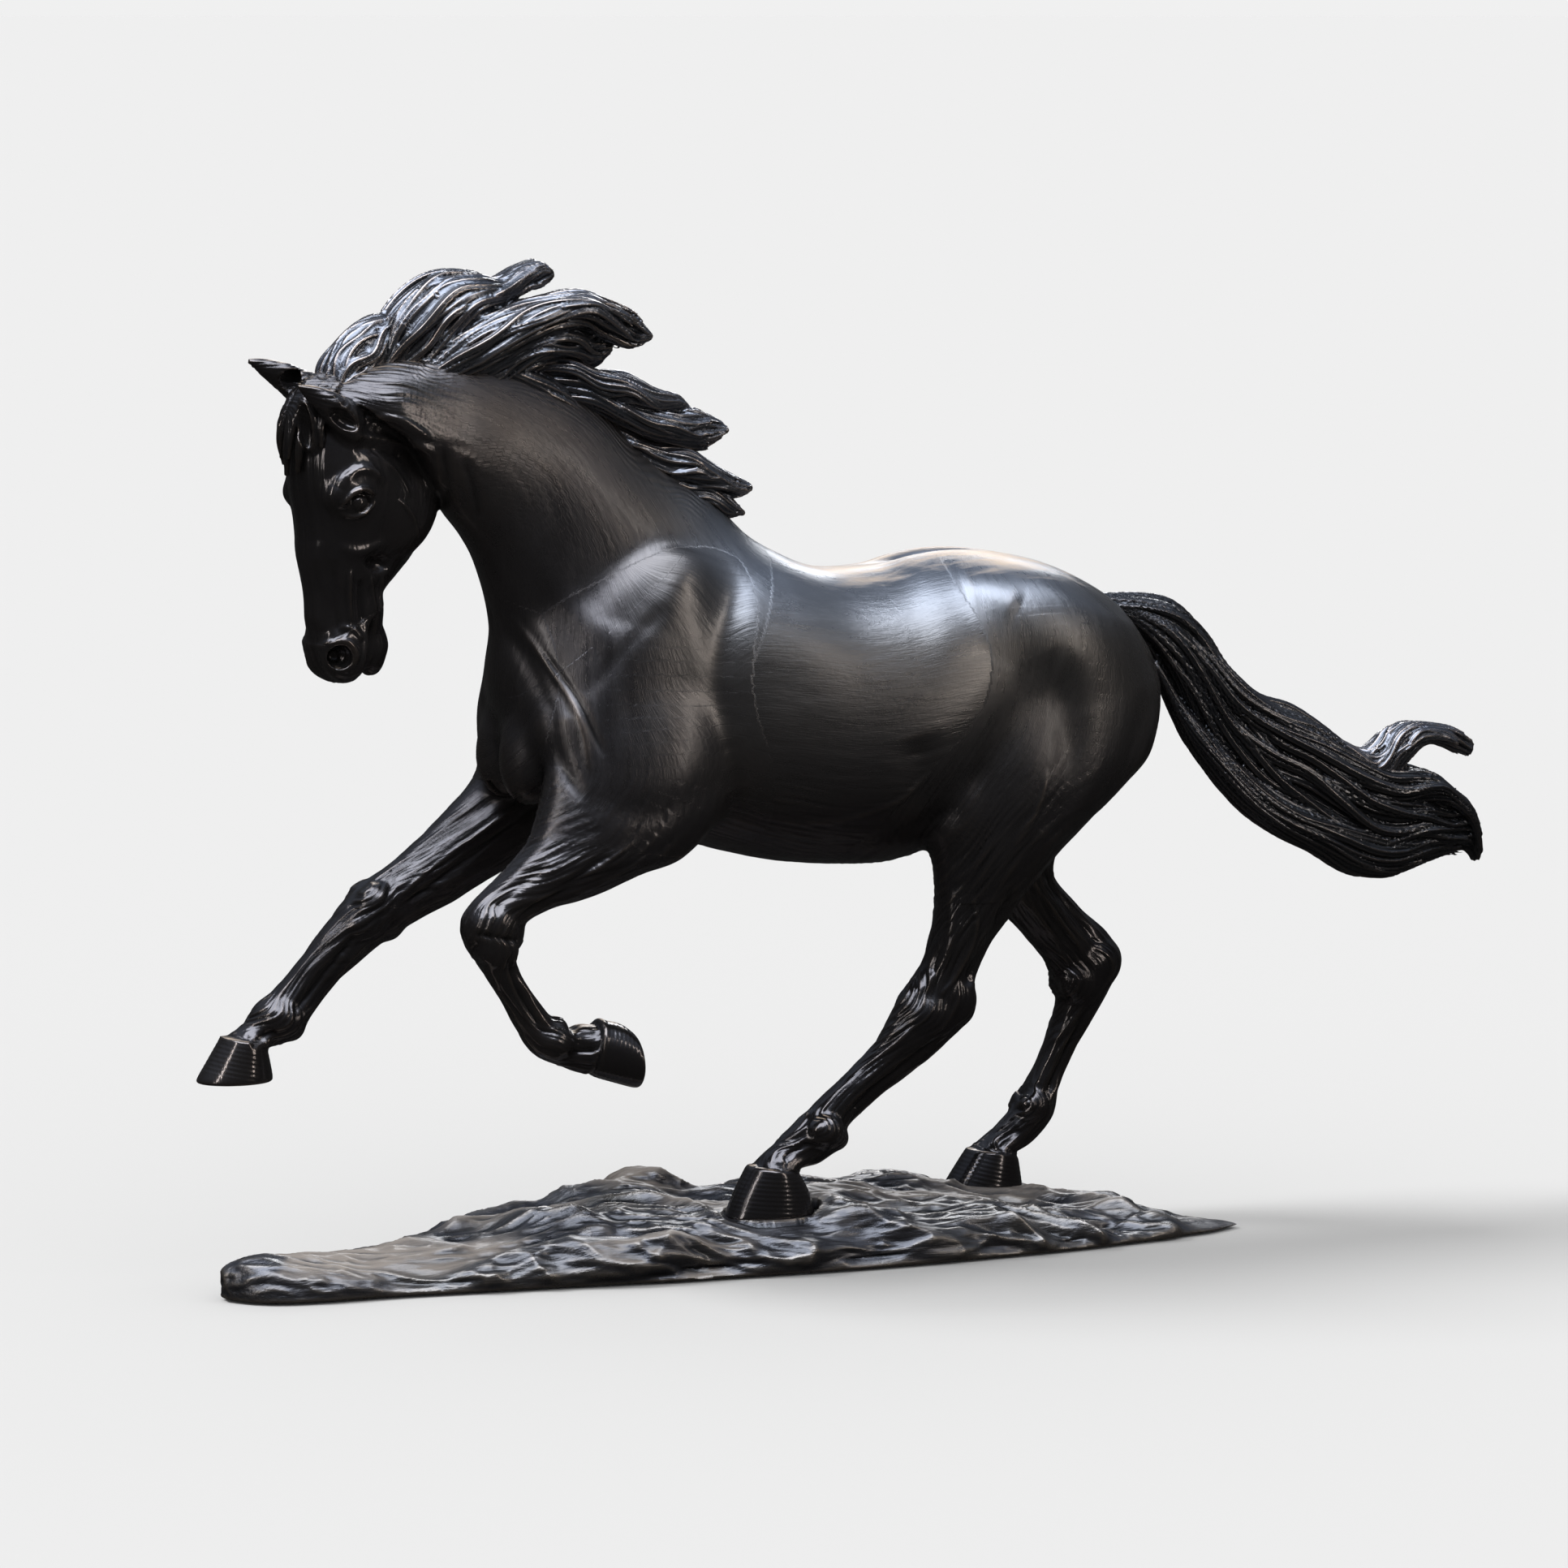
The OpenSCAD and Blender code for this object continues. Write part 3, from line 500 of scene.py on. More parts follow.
# waxed patina: dark metal, cloudy colour, brushed marks and small pits
def patina(name, look):
    material, nodes, links = nodesOf(name)
    shader = nodes["Principled BSDF"]
    shader.inputs["Metallic"].default_value = look["metallic"]
    shader.inputs["Coat Weight"].default_value = look["coat"]
    shader.inputs["Coat Roughness"].default_value = look["coatRoughness"]
    at = addNode(nodes, "ShaderNodeTexCoord").outputs["Object"]
    grain = at
    if look["flowing"]:  # the marks follow the form or the strand
        grain = addNode(nodes, "ShaderNodeAttribute", attribute_name="flow").outputs["Vector"]
    colour = rampNode(nodes, look["colours"])
    links.new(noiseNode(nodes, links, at, look["cloudScale"], *wax["cloud"]), colour.inputs["Fac"])
    last = colour.outputs["Color"]
    spot = addNode(nodes, "ShaderNodeSeparateXYZ")
    links.new(at, spot.inputs["Vector"])

    for part in ("flank", "back"):  # the warmer flank patina fades forward to the dark chest and downward to a dark belly, which is painted shade; the paler blue-grey on top of the back is a painted reflection
        if part in look:
            along = rangeNode(nodes, links, spot.outputs["X"], look[part + "Along"])
            up = rangeNode(nodes, links, spot.outputs["Z"], look[part + "Up"])
            last = mixIn(nodes, links, mathNode(nodes, links, "MULTIPLY", along, up), last, look[part])
    if "top" in look:  # upward faces are rubbed lighter
        facing = addNode(nodes, "ShaderNodeSeparateXYZ")
        links.new(addNode(nodes, "ShaderNodeNewGeometry").outputs["Normal"], facing.inputs["Vector"])
        stretched = mappedNode(nodes, links, at, {"Scale": look["topStretch"]})
        total = addNode(nodes, "ShaderNodeMath", {1: wax["dustAmount"]}, operation="MULTIPLY_ADD")
        links.new(noiseNode(nodes, links, stretched, look["topScale"], *wax["dust"]), total.inputs[0])
        links.new(facing.outputs["Z"], total.inputs[2])
        rubbed = rangeNode(nodes, links, total.outputs[0], look["topRange"])
        if "topMask" in look:
            painted = addNode(nodes, "ShaderNodeAttribute", attribute_name=look["topMask"])
            rubbed = mathNode(nodes, links, "MULTIPLY", rubbed, painted.outputs["Fac"])
        last = mixIn(nodes, links, rubbed, last, look["top"])
    ridge = addNode(nodes, "ShaderNodeAttribute", attribute_name="ridge").outputs["Fac"]
    last = mixIn(nodes, links, rangeNode(nodes, links, ridge, wax["grooves"]), last, look["groove"])
    worn = rangeNode(nodes, links, ridge, {**wax["ridges"], "To Max": look["rub"]})
    last = mixIn(nodes, links, worn, last, look["rubbed"])
    links.new(last, shader.inputs["Base Color"])

    if look["flowing"]:
        strokes = mappedNode(nodes, links, grain, {"Scale": wax["flowScale"]})
        rough = noiseNode(nodes, links, strokes, 1.0, *wax["gloss"])
    else:
        rough = noiseNode(nodes, links, at, look["cloudScale"] * wax["roughScale"], *wax["gloss"])
    finish = glossNode(nodes, links, rough, look["gloss"])
    if "satin" in look:  # the legs and the head are glossier than the body
        low = rangeNode(nodes, links, spot.outputs["Z"], wax["lowLimbs"])
        fore = rangeNode(nodes, links, spot.outputs["X"], wax["foreEnd"])
        choice = addNode(nodes, "ShaderNodeMix", data_type="FLOAT")
        links.new(mathNode(nodes, links, "MAXIMUM", low, fore), choice.inputs[0])
        links.new(glossNode(nodes, links, rough, look["satin"]), choice.inputs[2])
        links.new(finish, choice.inputs[3])
        finish = choice.outputs[0]
    if "top" in look:  # the tan places are dull
        dull = addNode(nodes, "ShaderNodeMix", {3: wax["tanRoughness"]}, data_type="FLOAT")
        links.new(rubbed, dull.inputs[0])
        links.new(finish, dull.inputs[2])
        finish = dull.outputs[0]
        metal = rangeNode(nodes, links, rubbed, {"To Min": look["metallic"], "To Max": wax["tanMetal"]})
        links.new(metal, shader.inputs["Metallic"])
    links.new(finish, shader.inputs["Roughness"])

    turned = {"Rotation": look["brushTurn"], "Scale": look["brushScale"]}
    brushed = mappedNode(nodes, links, grain, turned)
    first = addNode(nodes, "ShaderNodeBump", {"Strength": look["pitStrength"], "Distance": wax["pitDepth"]})
    links.new(noiseNode(nodes, links, at, look["pitScale"], *wax["pits"]), first.inputs["Height"])
    second = addNode(nodes, "ShaderNodeBump",
                     {"Strength": look["brushStrength"], "Distance": wax["brushDepth"]})
    links.new(noiseNode(nodes, links, brushed, 1.0, *wax["brush"]), second.inputs["Height"])
    links.new(first.outputs["Normal"], second.inputs["Normal"])
    links.new(second.outputs["Normal"], shader.inputs["Normal"])
    return material


def glossNode(nodes, links, rough, span):
    return rangeNode(nodes, links, rough, {**wax["glossFrom"], "To Min": span[0], "To Max": span[1]})


def mixIn(nodes, links, amount, under, colour):
    mix = addNode(nodes, "ShaderNodeMix", data_type="RGBA")
    mix.inputs[7].default_value = (*colour, 1)
    links.new(amount, mix.inputs[0])
    links.new(under, mix.inputs[6])
    return mix.outputs[2]


bronzeLook = {
    "metallic": 0.92, "coat": 0.15, "coatRoughness": 0.2, "gloss": (0.11, 0.20), "satin": (0.23, 0.37),
    "cloudScale": 9,
    "colours": [(0.3, (0.034, 0.031, 0.032)), (0.55, (0.052, 0.047, 0.047)), (0.75, (0.07, 0.06, 0.055))],
    # flank: warmer patina, fading downward to painted shade under the belly; back: painted reflection, a paler
    # blue-grey on top of the back
    "flank": (0.095, 0.088, 0.082), "back": (0.135, 0.142, 0.158),
    "backUp": {"From Min": 0.262, "From Max": 0.295}, "backAlong": {"From Min": -0.10, "From Max": -0.06},
    "flankAlong": {"From Min": -0.135, "From Max": -0.06, "To Max": 0.9},
    "flankUp": {"From Min": 0.19, "From Max": 0.27},
    "top": (0.30, 0.22, 0.15), "topScale": 30, "topStretch": (1, 5, 5),
    "topRange": {"From Min": 1.14, "From Max": 1.32},
    "groove": (0.012, 0.011, 0.011), "rubbed": (0.16, 0.12, 0.09), "rub": 0.35, "flowing": True,
    "brushTurn": (0, 0, 0), "brushScale": (1.5, 0.13, 1), "brushStrength": 0.3,
    "pitScale": 420, "pitStrength": 0.08}
hairLook = {
    "metallic": 0.92, "coat": 0.25, "coatRoughness": 0.12, "gloss": (0.16, 0.30), "cloudScale": 16,
    "colours": [(0.3, (0.06, 0.066, 0.08)), (0.7, (0.11, 0.11, 0.12))],
    "groove": (0.005, 0.005, 0.006), "rubbed": (0.34, 0.25, 0.18), "rub": 0.35, "flowing": True,
    "brushTurn": (0, 0, 0), "brushScale": (1.6, 0.06, 3.0), "brushStrength": 0.3,
    "pitScale": 500, "pitStrength": 0.04}
patinas = {
    "body": patina("bodyPatina", bronzeLook),
    "limb": patina("limbPatina", bronzeLook),
    "hair": patina("hairPatina", hairLook),
    # a darker copy of the hair patina: painted shade on the main tail
    "tail": patina("tailPatina", {
        **hairLook, "gloss": (0.13, 0.24), "rub": 0.3, "rubbed": (0.14, 0.11, 0.09),
        "colours": [(0.3, (0.026, 0.028, 0.032)), (0.7, (0.05, 0.049, 0.052))]}),
    "ground": patina("groundPatina", {
        "metallic": 0.85, "coat": 0.2, "coatRoughness": 0.16, "gloss": (0.22, 0.38), "cloudScale": 22,
        "colours": [(0.3, (0.026, 0.026, 0.030)), (0.5, (0.045, 0.043, 0.046)), (0.75, (0.075, 0.068, 0.06))],
        "top": (0.13, 0.104, 0.082), "topScale": 60, "topStretch": (1, 6, 6), "topMask": "tan",
        "topRange": {"From Min": 0.75, "From Max": 1.15},
        "groove": (0.008, 0.008, 0.009), "rubbed": (0.20, 0.17, 0.14), "rub": 0.5, "flowing": False,
        "brushTurn": (0, 0, 0.25), "brushScale": (70, 800, 800), "brushStrength": 0.8,
        "pitScale": 300, "pitStrength": 0.2})}
print("patinas ready")


muscles = [  # centre, radii, turn, blend; each is made on both sides
    ((-116, 30, 262), (20, 11, 42), (0, 28, 0), 16),
    ((-108, 38.5, 220), (26, 11, 20), (0, -20, 0), 14),
    ((-148, 28, 232), (13, 12, 15), (0, 0, 0), 8),
    ((-158, 13, 218), (12, 12, 18), (0, 0, 0), 8),
    ((70, 26, 262), (40, 24, 25), (0, 20, 0), 14),
    ((28, 40, 192), (13, 11, 16), (0, 0, 0), 8),
    ((52, 38, 208), (22, 15, 32), (0, 15, 0), 8),
    ((-128, 15, 316), (38, 10, 20), (0, 38, 0), 8)]
partings = {
    "neck": ((-72, 325), (-168, 244), (-1, 1)),
    "head": ((-216, 386), (-203, 333), (-1, 0))}
bodyStrokes = [  # line in side view, radius, height, side
    ([(-72, 300), (-84, 270), (-86, 238), (-78, 206)], 9, -1.5, 0),
    ([(-86, 314), (-116, 290), (-140, 262), (-154, 236)], 7, -0.8, 0),
    ([(-146, 247), (-128, 266), (-108, 284)], 3.5, -0.5, -1),
    ([(-84, 214), (-106, 202), (-130, 200), (-152, 208)], 7, -0.6, 0),
    ([(-158, 246), (-158, 226), (-150, 204)], 3, -1.2, 0),
    ([(22, 184), (6, 204), (0, 226)], 9, -2.0, 0),
    ([(60, 258), (72, 232), (72, 204), (62, 180)], 8, -1.1, 0),
    ([(112, 240), (104, 214), (88, 190), (64, 168)], 5, -0.9, 0),
    ([(30, 286), (42, 284), (52, 278)], 7, 1.0, 0),
    ([(-62, 180), (-30, 178), (2, 184), (22, 196)], 4, -0.7, 0),
    ([(-60, 190), (-32, 190), (-6, 198), (8, 210)], 1.5, 0.5, 0),
    ([(46, 176), (56, 190), (62, 208)], 1.3, 0.5, 0),
    ([(-194, 320), (-174, 288), (-158, 256), (-152, 238)], 5, -1.0, 0),
    ([(-186, 332), (-162, 304), (-142, 278), (-124, 262)], 7, 0.8, 0),
    ([(-204, 352), (-200, 336), (-198, 322)], 2.4, -1.0, 0),
    ([(-194, 346), (-188, 332), (-184, 320)], 2.2, -0.7, 0),
    ([(-176, 286), (-164, 262), (-158, 240)], 2.6, -0.8, -1),
    ([(-168, 280), (-154, 254), (-148, 236), (-146, 214)], 1.6, 0.8, -1),
    ([(-160, 268), (-148, 244), (-140, 222)], 1.4, -0.7, -1)]
legDetails = {
    "left_foreleg_casting": {
        "blobs": [((-188, 6.5, 153), (9, 5, 8)), ((-186, 7, 144), (8, 4, 6)), ((-178, 0, 150), (5, 7, 7)),
                  ((-160, 5.5, 104), (6, 4.5, 6)), ((-158, 0, 110), (4, 5, 4))],
        "strokes": [([(-184, 142), (-179, 131), (-173, 118), (-166, 108)], 1.7, -1.3),
                    ([(-180, 142), (-175, 130), (-168, 117), (-161, 109)], 1.4, 0.9),
                    ([(-190, 138), (-184, 126), (-177, 113), (-170, 102)], 1.2, 0.6),
                    ([(-166, 180), (-180, 170), (-191, 160)], 2.4, -1.2),
                    ([(-140, 184), (-156, 172), (-172, 162), (-180, 156)], 2.2, -1.2),
                    ([(-128, 188), (-148, 176), (-168, 166), (-182, 158)], 1.0, 0.7),
                    ([(-122, 182), (-140, 172), (-160, 166)], 1.0, 0.6),
                    ([(-156, 98), (-150, 100), (-144, 100)], 1.8, -0.7),
                    ([(-198, 152), (-188, 150), (-178, 148)], 1.4, -0.9)]},
    "right_foreleg_casting": {
        "blobs": [((-212, 6.5, 156), (8, 5, 8)), ((-216, 7, 147), (7, 4, 6)), ((-204, 0, 146), (5, 7, 6)),
                  ((-254, 5.5, 109), (7, 4.5, 6)), ((-248, 0, 104), (4, 5, 4))],
        "strokes": [([(-222, 144), (-232, 132), (-242, 120), (-250, 112)], 1.7, -1.3),
                    ([(-218, 140), (-228, 128), (-238, 116), (-246, 108)], 1.4, 0.9),
                    ([(-228, 150), (-238, 138), (-248, 126), (-258, 116)], 1.2, 0.6),
                    ([(-152, 204), (-176, 188), (-198, 172), (-212, 160)], 2.4, -1.2),
                    ([(-140, 196), (-164, 180), (-188, 164), (-204, 152)], 1.8, -1.0),
                    ([(-146, 198), (-170, 183), (-192, 168), (-206, 156)], 1.0, 0.7),
                    ([(-258, 106), (-264, 102), (-270, 100)], 1.6, -0.7)]},
    "left_hind_leg_casting": {
        "blobs": [((26, 6, 110), (9, 5, 9)), ((14, 6.5, 104), (10, 5, 7)), ((31, 0, 106), (5, 6, 7)),
                  ((-34, 5.5, 57), (7, 4.5, 6)), ((-27, 0, 53), (4, 5, 4))],
        "strokes": [([(18, 96), (2, 84), (-14, 72), (-28, 60)], 1.7, -1.3),
                    ([(22, 92), (6, 80), (-10, 69), (-24, 57)], 1.4, 0.9),
                    ([(8, 102), (-8, 89), (-22, 77), (-36, 65)], 1.2, 0.6),
                    ([(48, 158), (42, 140), (34, 126), (28, 116)], 2.6, -1.8),
                    ([(56, 156), (46, 138), (36, 124), (32, 114)], 1.6, 1.0),
                    ([(22, 160), (22, 142), (18, 126), (10, 114)], 1.4, 0.8),
                    ([(30, 156), (32, 140), (26, 124), (16, 112)], 1.0, 0.7),
                    ([(-42, 54), (-48, 50), (-54, 46)], 1.6, -0.7)]},
    "right_hind_leg_casting": {
        "blobs": [((126, 6, 112), (9, 5, 9)), ((116, 6.5, 104), (9, 5, 8)), ((132, 0, 112), (5, 6, 7)),
                  ((94, 5.5, 50), (6, 4.5, 6)), ((99, 0, 48), (4, 5, 4))],
        "strokes": [([(120, 96), (112, 80), (104, 64), (98, 54)], 1.7, -1.3),
                    ([(124, 94), (115, 78), (107, 62), (101, 52)], 1.4, 0.9),
                    ([(112, 96), (106, 80), (98, 64), (92, 54)], 1.2, 0.6),
                    ([(92, 160), (102, 146), (114, 132), (124, 120)], 2.4, -1.6),
                    ([(76, 152), (90, 138), (102, 124), (110, 112)], 1.2, 0.8),
                    ([(84, 156), (96, 142), (108, 128), (116, 116)], 1.0, 0.6),
                    ([(86, 42), (80, 38), (74, 34)], 1.6, -0.7)]}}
legStrokes = [(line, radius, height, math.copysign(1, legs[node]["y"]))
              for node, details in legDetails.items() for line, radius, height in details["strokes"]]
headBlobs = [  # centre, radii, turn, blend; in the head's own plane, made on both sides
    ((33, 10, 326), (16, 8, 19), (0, 18, 0), 5),
    ((2, 15, 334), (11, 6.5, 7), (0, -15, 0), 4),
    ((-1, 7, 316), (5, 5, 26), (0, 0, 0), 4),
    ((6, 6, 267), (11, 6.5, 11), (0, 15, 0), 4),
    ((16, 6, 284), (8, 5, 9), (0, 0, 0), 4)]


# every part near the field, always in this order, so that castings agree where they meet
def buildBody(field):
    for rows in body.values():
        addSkin(field, loft(rows, around=120, steps=10), 8)
    for leg in legs.values():
        addSkin(field, loft(leg["rows"], around=80, steps=8), 8)
    for centre, radii, turn, k in muscles:
        for side in (-1, 1):
            blob(field, (centre[0], centre[1] * side, centre[2]), radii, turn, k)
    addSkin(field, headLoft(head["face"], around=48), 5)
    addSkin(field, headLoft(head["chin"]), 4)
    headBlob(field, (22.5, 0, 268), (6.5, 8, 12), (0, 0, 0), 1.5)
    for centre, radii, turn, k in headBlobs:
        for side in (-1, 1):
            headBlob(field, (centre[0], centre[1] * side, centre[2]), radii, turn, k)


# length along, and round, the nearest part, for marks that run along it
def flowOf(points):
    samples, start = [], 0
    for rows in [*body.values(), *[leg["rows"] for leg in legs.values()]]:
        line = smoothRows(rows, 6)
        centre = np.stack([(line[:, 0] + line[:, 2]) / 2, line[:, 4], (line[:, 1] + line[:, 3]) / 2], 1)
        length = np.concatenate([[0], np.cumsum(np.linalg.norm(np.diff(centre, axis=0), axis=1))])
        way = np.gradient(centre, axis=0)
        way /= np.linalg.norm(way, axis=1)[:, None]
        side = np.cross(way, (0, 1, 0))
        samples += [(centre[i], way[i], side[i], length[i] + start) for i in range(len(line))]
        start += 400
    tree = kdtree.KDTree(len(samples))
    for i, sample in enumerate(samples):
        tree.insert(sample[0], i)
    tree.balance()
    nearest = np.array([tree.find(p)[1] for p in points])
    at, way, side, length = [np.array(v)[nearest] for v in zip(*samples)]
    d = points - at
    across, out = (d * side).sum(1), d[:, 1]
    angle = np.arctan2(np.abs(out), across)
    return np.stack([angle * np.hypot(across, out), length + (d * way).sum(1), np.sign(out) * 50], 1)


# fine cords along the limbs, as cast in the wax
def sinews(points, quads, flow, height, where=1):
    wave = np.array([noise.noise(Vector((f[0] * 0.42, f[1] * 0.055, f[2]))) + 0.5 * noise.noise(
        Vector((f[0] * 0.95, f[1] * 0.09, f[2] + 7))) for f in flow])
    return points + normalsOf(points, quads) * (height * wave * where)[:, None]


def bodySkin(name, points, quads, material, cuts, hairy=1):
    flow = flowOf(points)
    low = np.clip((222 - points[:, 2]) / 60, 0, 1)
    fore = np.clip((-180 - points[:, 0]) / 40, 0, 1)
    points = sinews(points, quads, flow, 0.55, (np.maximum(low, 0.6 * fore) * 0.9 + 0.1) * hairy)
    flow = flow * np.maximum(hairy * np.ones(len(points)), 0.15)[:, None]
    painted = {"flow": flow, "ridge": ridgeOf(points, quads, 10, 0.9)}
    return castMesh(name, points, quads, material, cuts, painted)


# thin hair marks that run beside a line
def strandMarks(points, quads, flat, line, reach, pitch, height, seed):
    line = smoothRows(line, 4)
    fine = smoothRows(line, 8)
    tree = kdtree.KDTree(len(fine))
    for i, p in enumerate(fine):
        tree.insert((p[0], p[1], 0), i)
    tree.balance()
    normals = normalsOf(points, quads)
    lift = np.zeros(len(points))
    low, high = line.min(0) - reach, line.max(0) + reach
    for n in np.where(((flat > low) & (flat < high)).all(1))[0]:
        gap = tree.find((flat[n][0], flat[n][1], 0))[2]
        if gap < reach:
            wave = noise.noise(Vector((flat[n][0] * 0.04, flat[n][1] * 0.04, seed))) * 5
            lift[n] = height * math.cos(2 * math.pi * (gap / pitch + wave)) * (1 - gap / reach)
    return points + normals * lift[:, None]


def fieldOf(piece):
    return newField(piece["low"], piece["high"], piece["voxel"], piece["reach"])


torso = {
    "low": (-182, -72, 128), "high": (148, 72, 348), "voxel": 0.96, "reach": 9, "smoothing": 5,
    "spine": ((26, 0, 300), (52, 4, 6), (0, 4, 0), 6),  # the furrow along the croup
    "limbCut": {"along": 40, "inner": 8, "outer": 80, "bottom": 100, "above": 14}}


def makeTorso():
    field = fieldOf(torso)
    buildBody(field)
    blob(field, *torso["spine"], cut=True)
    points, quads = skinOf(field, torso["smoothing"])
    points = drawStrokes(points, quads, points[:, [0, 2]], points[:, 1], bodyStrokes + legStrokes)
    cuts = [(*partings["neck"], None)]
    room = torso["limbCut"]
    for leg in legs.values():
        c = leg["cut"]
        side = math.copysign(1, leg["y"])
        low, high = sorted((side * room["inner"], side * room["outer"]))
        region = ((c[0] - room["along"], low, room["bottom"]),
                  (c[2] + room["along"], high, c[1] + room["above"]))
        cuts.append(((c[0], c[1]), (c[2], c[3]), leg["away"], region))
    return bodySkin("torsoCasting", points, quads, patinas["body"], cuts)


neck = {
    "low": (-226, -50, 232), "high": (-52, 48, 402), "voxel": 0.8, "reach": 9, "smoothing": 5,
    "crest": [(-206, 388), (-170, 386), (-140, 375), (-108, 352), (-80, 330)],
    "hair": {"reach": 16, "pitch": 2.2, "height": 0.3, "seed": 3}}


def makeNeck():
    field = fieldOf(neck)
    buildBody(field)
    points, quads = skinOf(field, neck["smoothing"])
    points = drawStrokes(points, quads, points[:, [0, 2]], points[:, 1], bodyStrokes)
    points = strandMarks(points, quads, points[:, [0, 2]], neck["crest"], **neck["hair"])
    front, back, away = partings["neck"]
    cuts = [(front, back, (-away[0], -away[1]), None), (*partings["head"], None)]
    return bodySkin("neckCasting", points, quads, patinas["body"], cuts)


place(makeTorso(), "torso_casting")
place(makeNeck(), "neck_casting")


headStrokes = [  # drawn in the head's own upright plane: line, radius, height, side
    ([(-5, 328), (-1, 333), (5, 335), (11, 332)], 1.1, 1.3, 0),
    ([(-4, 325.5), (2, 323.6), (8, 325.5), (12, 330)], 1.0, 1.0, 0),
    ([(-6, 336), (1, 342), (9, 342.5), (17, 337)], 2.2, 1.4, 0),
    ([(-4, 312), (4, 309), (12, 310), (20, 313)], 2.4, 0.8, 0),
    ([(-9, 314), (-9, 300), (-8, 286), (-6, 276)], 1.6, 0.9, 0),
    ([(-4, 306), (-3, 294), (-1, 282), (1, 274)], 2.2, -1.0, 0),
    ([(3, 302), (4, 290), (5, 279)], 1.2, 0.9, 0),
    ([(9, 298), (10, 288), (11, 278)], 2.0, -1.1, 0),
    ([(14, 299), (16, 290), (18, 282)], 1.0, 0.7, 0),
    ([(21, 298), (21, 290), (21, 282)], 1.0, 0.6, 0),
    ([(17, 281), (16.5, 272), (16, 264), (14, 256)], 1.2, -3.0, 0),
    ([(12, 281), (12, 273), (11, 264), (9, 257)], 1.8, 0.8, 0),
    ([(6, 262), (6.2, 267), (3, 271.6), (-3, 272), (-7, 268)], 1.2, 0.8, 0),
    ([(-1, 278), (6, 277), (10, 272)], 1.5, 0.8, 0),
    ([(-1, 357), (14, 355), (28, 352), (37, 348)], 1.5, 1.0, 0),
    ([(2, 352), (16, 350), (30, 346)], 2.2, -1.1, 0),
    ([(6, 362), (16, 364), (26, 360), (34, 354)], 1.3, 0.7, 0),
    ([(18, 346), (26, 338), (30, 330)], 1.0, 0.5, 0),
    ([(24, 330), (32, 322), (36, 312)], 0.9, 0.5, 0)]


def headStrand(field, path, radius, k=1.2):
    path = smoothRows(path, 6)
    t = np.linspace(0, 1, len(path))
    skin, _, _ = tube(headToWorld(path), radius * np.clip(1.15 - t, 0.22, 1) ** 0.7, 10)
    addSkin(field, skin, k)


headSkin = {  # the shapes are in the head's own plane: centre, radii, turn, blend
    "low": (-292, -62, 244), "high": (-196, 34, 402), "voxel": 0.48, "reach": 8.2, "smoothing": 2,
    "paired": [  # eye socket, eyeball, nostril and cheek hollow on both sides; the last value cuts it out
        ((4.5, 22, 329.3), (6.4, 4.6, 4.2), (0, 20, 0), 1.6, True),
        ((4.5, 16.2, 329.3), (5.2, 5.0, 4.4), (0, 0, 0), 0.4, False),
        ((0, 13.5, 265.6), (5.2, 10, 5.2), (0, 0, 0), 0.8, True),
        ((18, 15.5, 303), (7.5, 5, 3.6), (0, 12, 0), 2, True)],
    "earBlend": 2.5,
    "earHollows": [((-5, -21.5, 364), (8, 4.4, 3.6), (0, 30, 0), 1.0),
                   ((-10, 10.5, 377), (11, 3.4, 5), (0, -18, 12), 1.0)],
    "forelock": [
        ([(4, -4, 379), (-6, -6, 374), (-13, -7, 364), (-16, -6, 352), (-15, -3, 342)], 3.2),
        ([(4, 0, 380), (-8, -1, 376), (-15, -1, 366), (-18, 0, 353), (-16, 3, 340)], 3.4),
        ([(4, 4, 380), (-7, 5, 375), (-14, 7, 365), (-16, 8, 354), (-13, 9, 344)], 3.0),
        ([(2, -8, 377), (-6, -11, 370), (-10, -13, 361), (-10, -13, 352)], 2.4),
        ([(0, 8, 378), (-7, 11, 371), (-11, 13, 362), (-11, 13, 352)], 2.4),
        ([(-4, -3, 378), (-13, -4, 371), (-17, -3, 360), (-18, -1, 347)], 2.2),
        ([(-4, 2, 378), (-14, 2, 371), (-18, 3, 359), (-17, 6, 347)], 2.2)],
    "curl": ((-11.5, -7, 360), (4.5, 5.5, 13.5), (0, -12, 0), 0.8),
    "curlHollow": ((-15.5, -8.5, 361), (3.5, 3.2, 10), (0, -12, 0), 0.6)}


def makeHead():
    field = fieldOf(headSkin)
    buildBody(field)
    for side in (-1, 1):
        for centre, radii, turn, k, cut in headSkin["paired"]:
            headBlob(field, (centre[0], centre[1] * side, centre[2]), radii, turn, k, cut)
    for ear in ("leftEar", "rightEar"):
        addSkin(field, headLoft(head[ear]), headSkin["earBlend"])
    for hollow in headSkin["earHollows"]:
        headBlob(field, *hollow, cut=True)
    for path, radius in headSkin["forelock"]:
        headStrand(field, path, radius)
    headBlob(field, *headSkin["curl"])
    headBlob(field, *headSkin["curlHollow"], cut=True)
    points, quads = skinOf(field, headSkin["smoothing"])
    local = worldToHead(points)
    points = drawStrokes(points, quads, points[:, [0, 2]], points[:, 1], bodyStrokes)
    points = drawStrokes(points, quads, local[:, [0, 2]], local[:, 1], headStrokes)
    front, back, away = partings["head"]
    cuts = [(front, back, (-away[0], -away[1]), None)]
    return bodySkin("headCasting", points, quads, patinas["body"], cuts)


place(makeHead(), "head_casting")


standing = {"left_hind_leg_casting": 22, "right_hind_leg_casting": 15}  # height of each sole
hoofMarks = {"reach": 26, "above": -4, "short": 0.6, "ringHeight": 0.05, "ringPitch": 1.9, "fade": 3,
             "bandHeight": 0.8, "bandAt": 0.6, "bandWidth": 1.5}


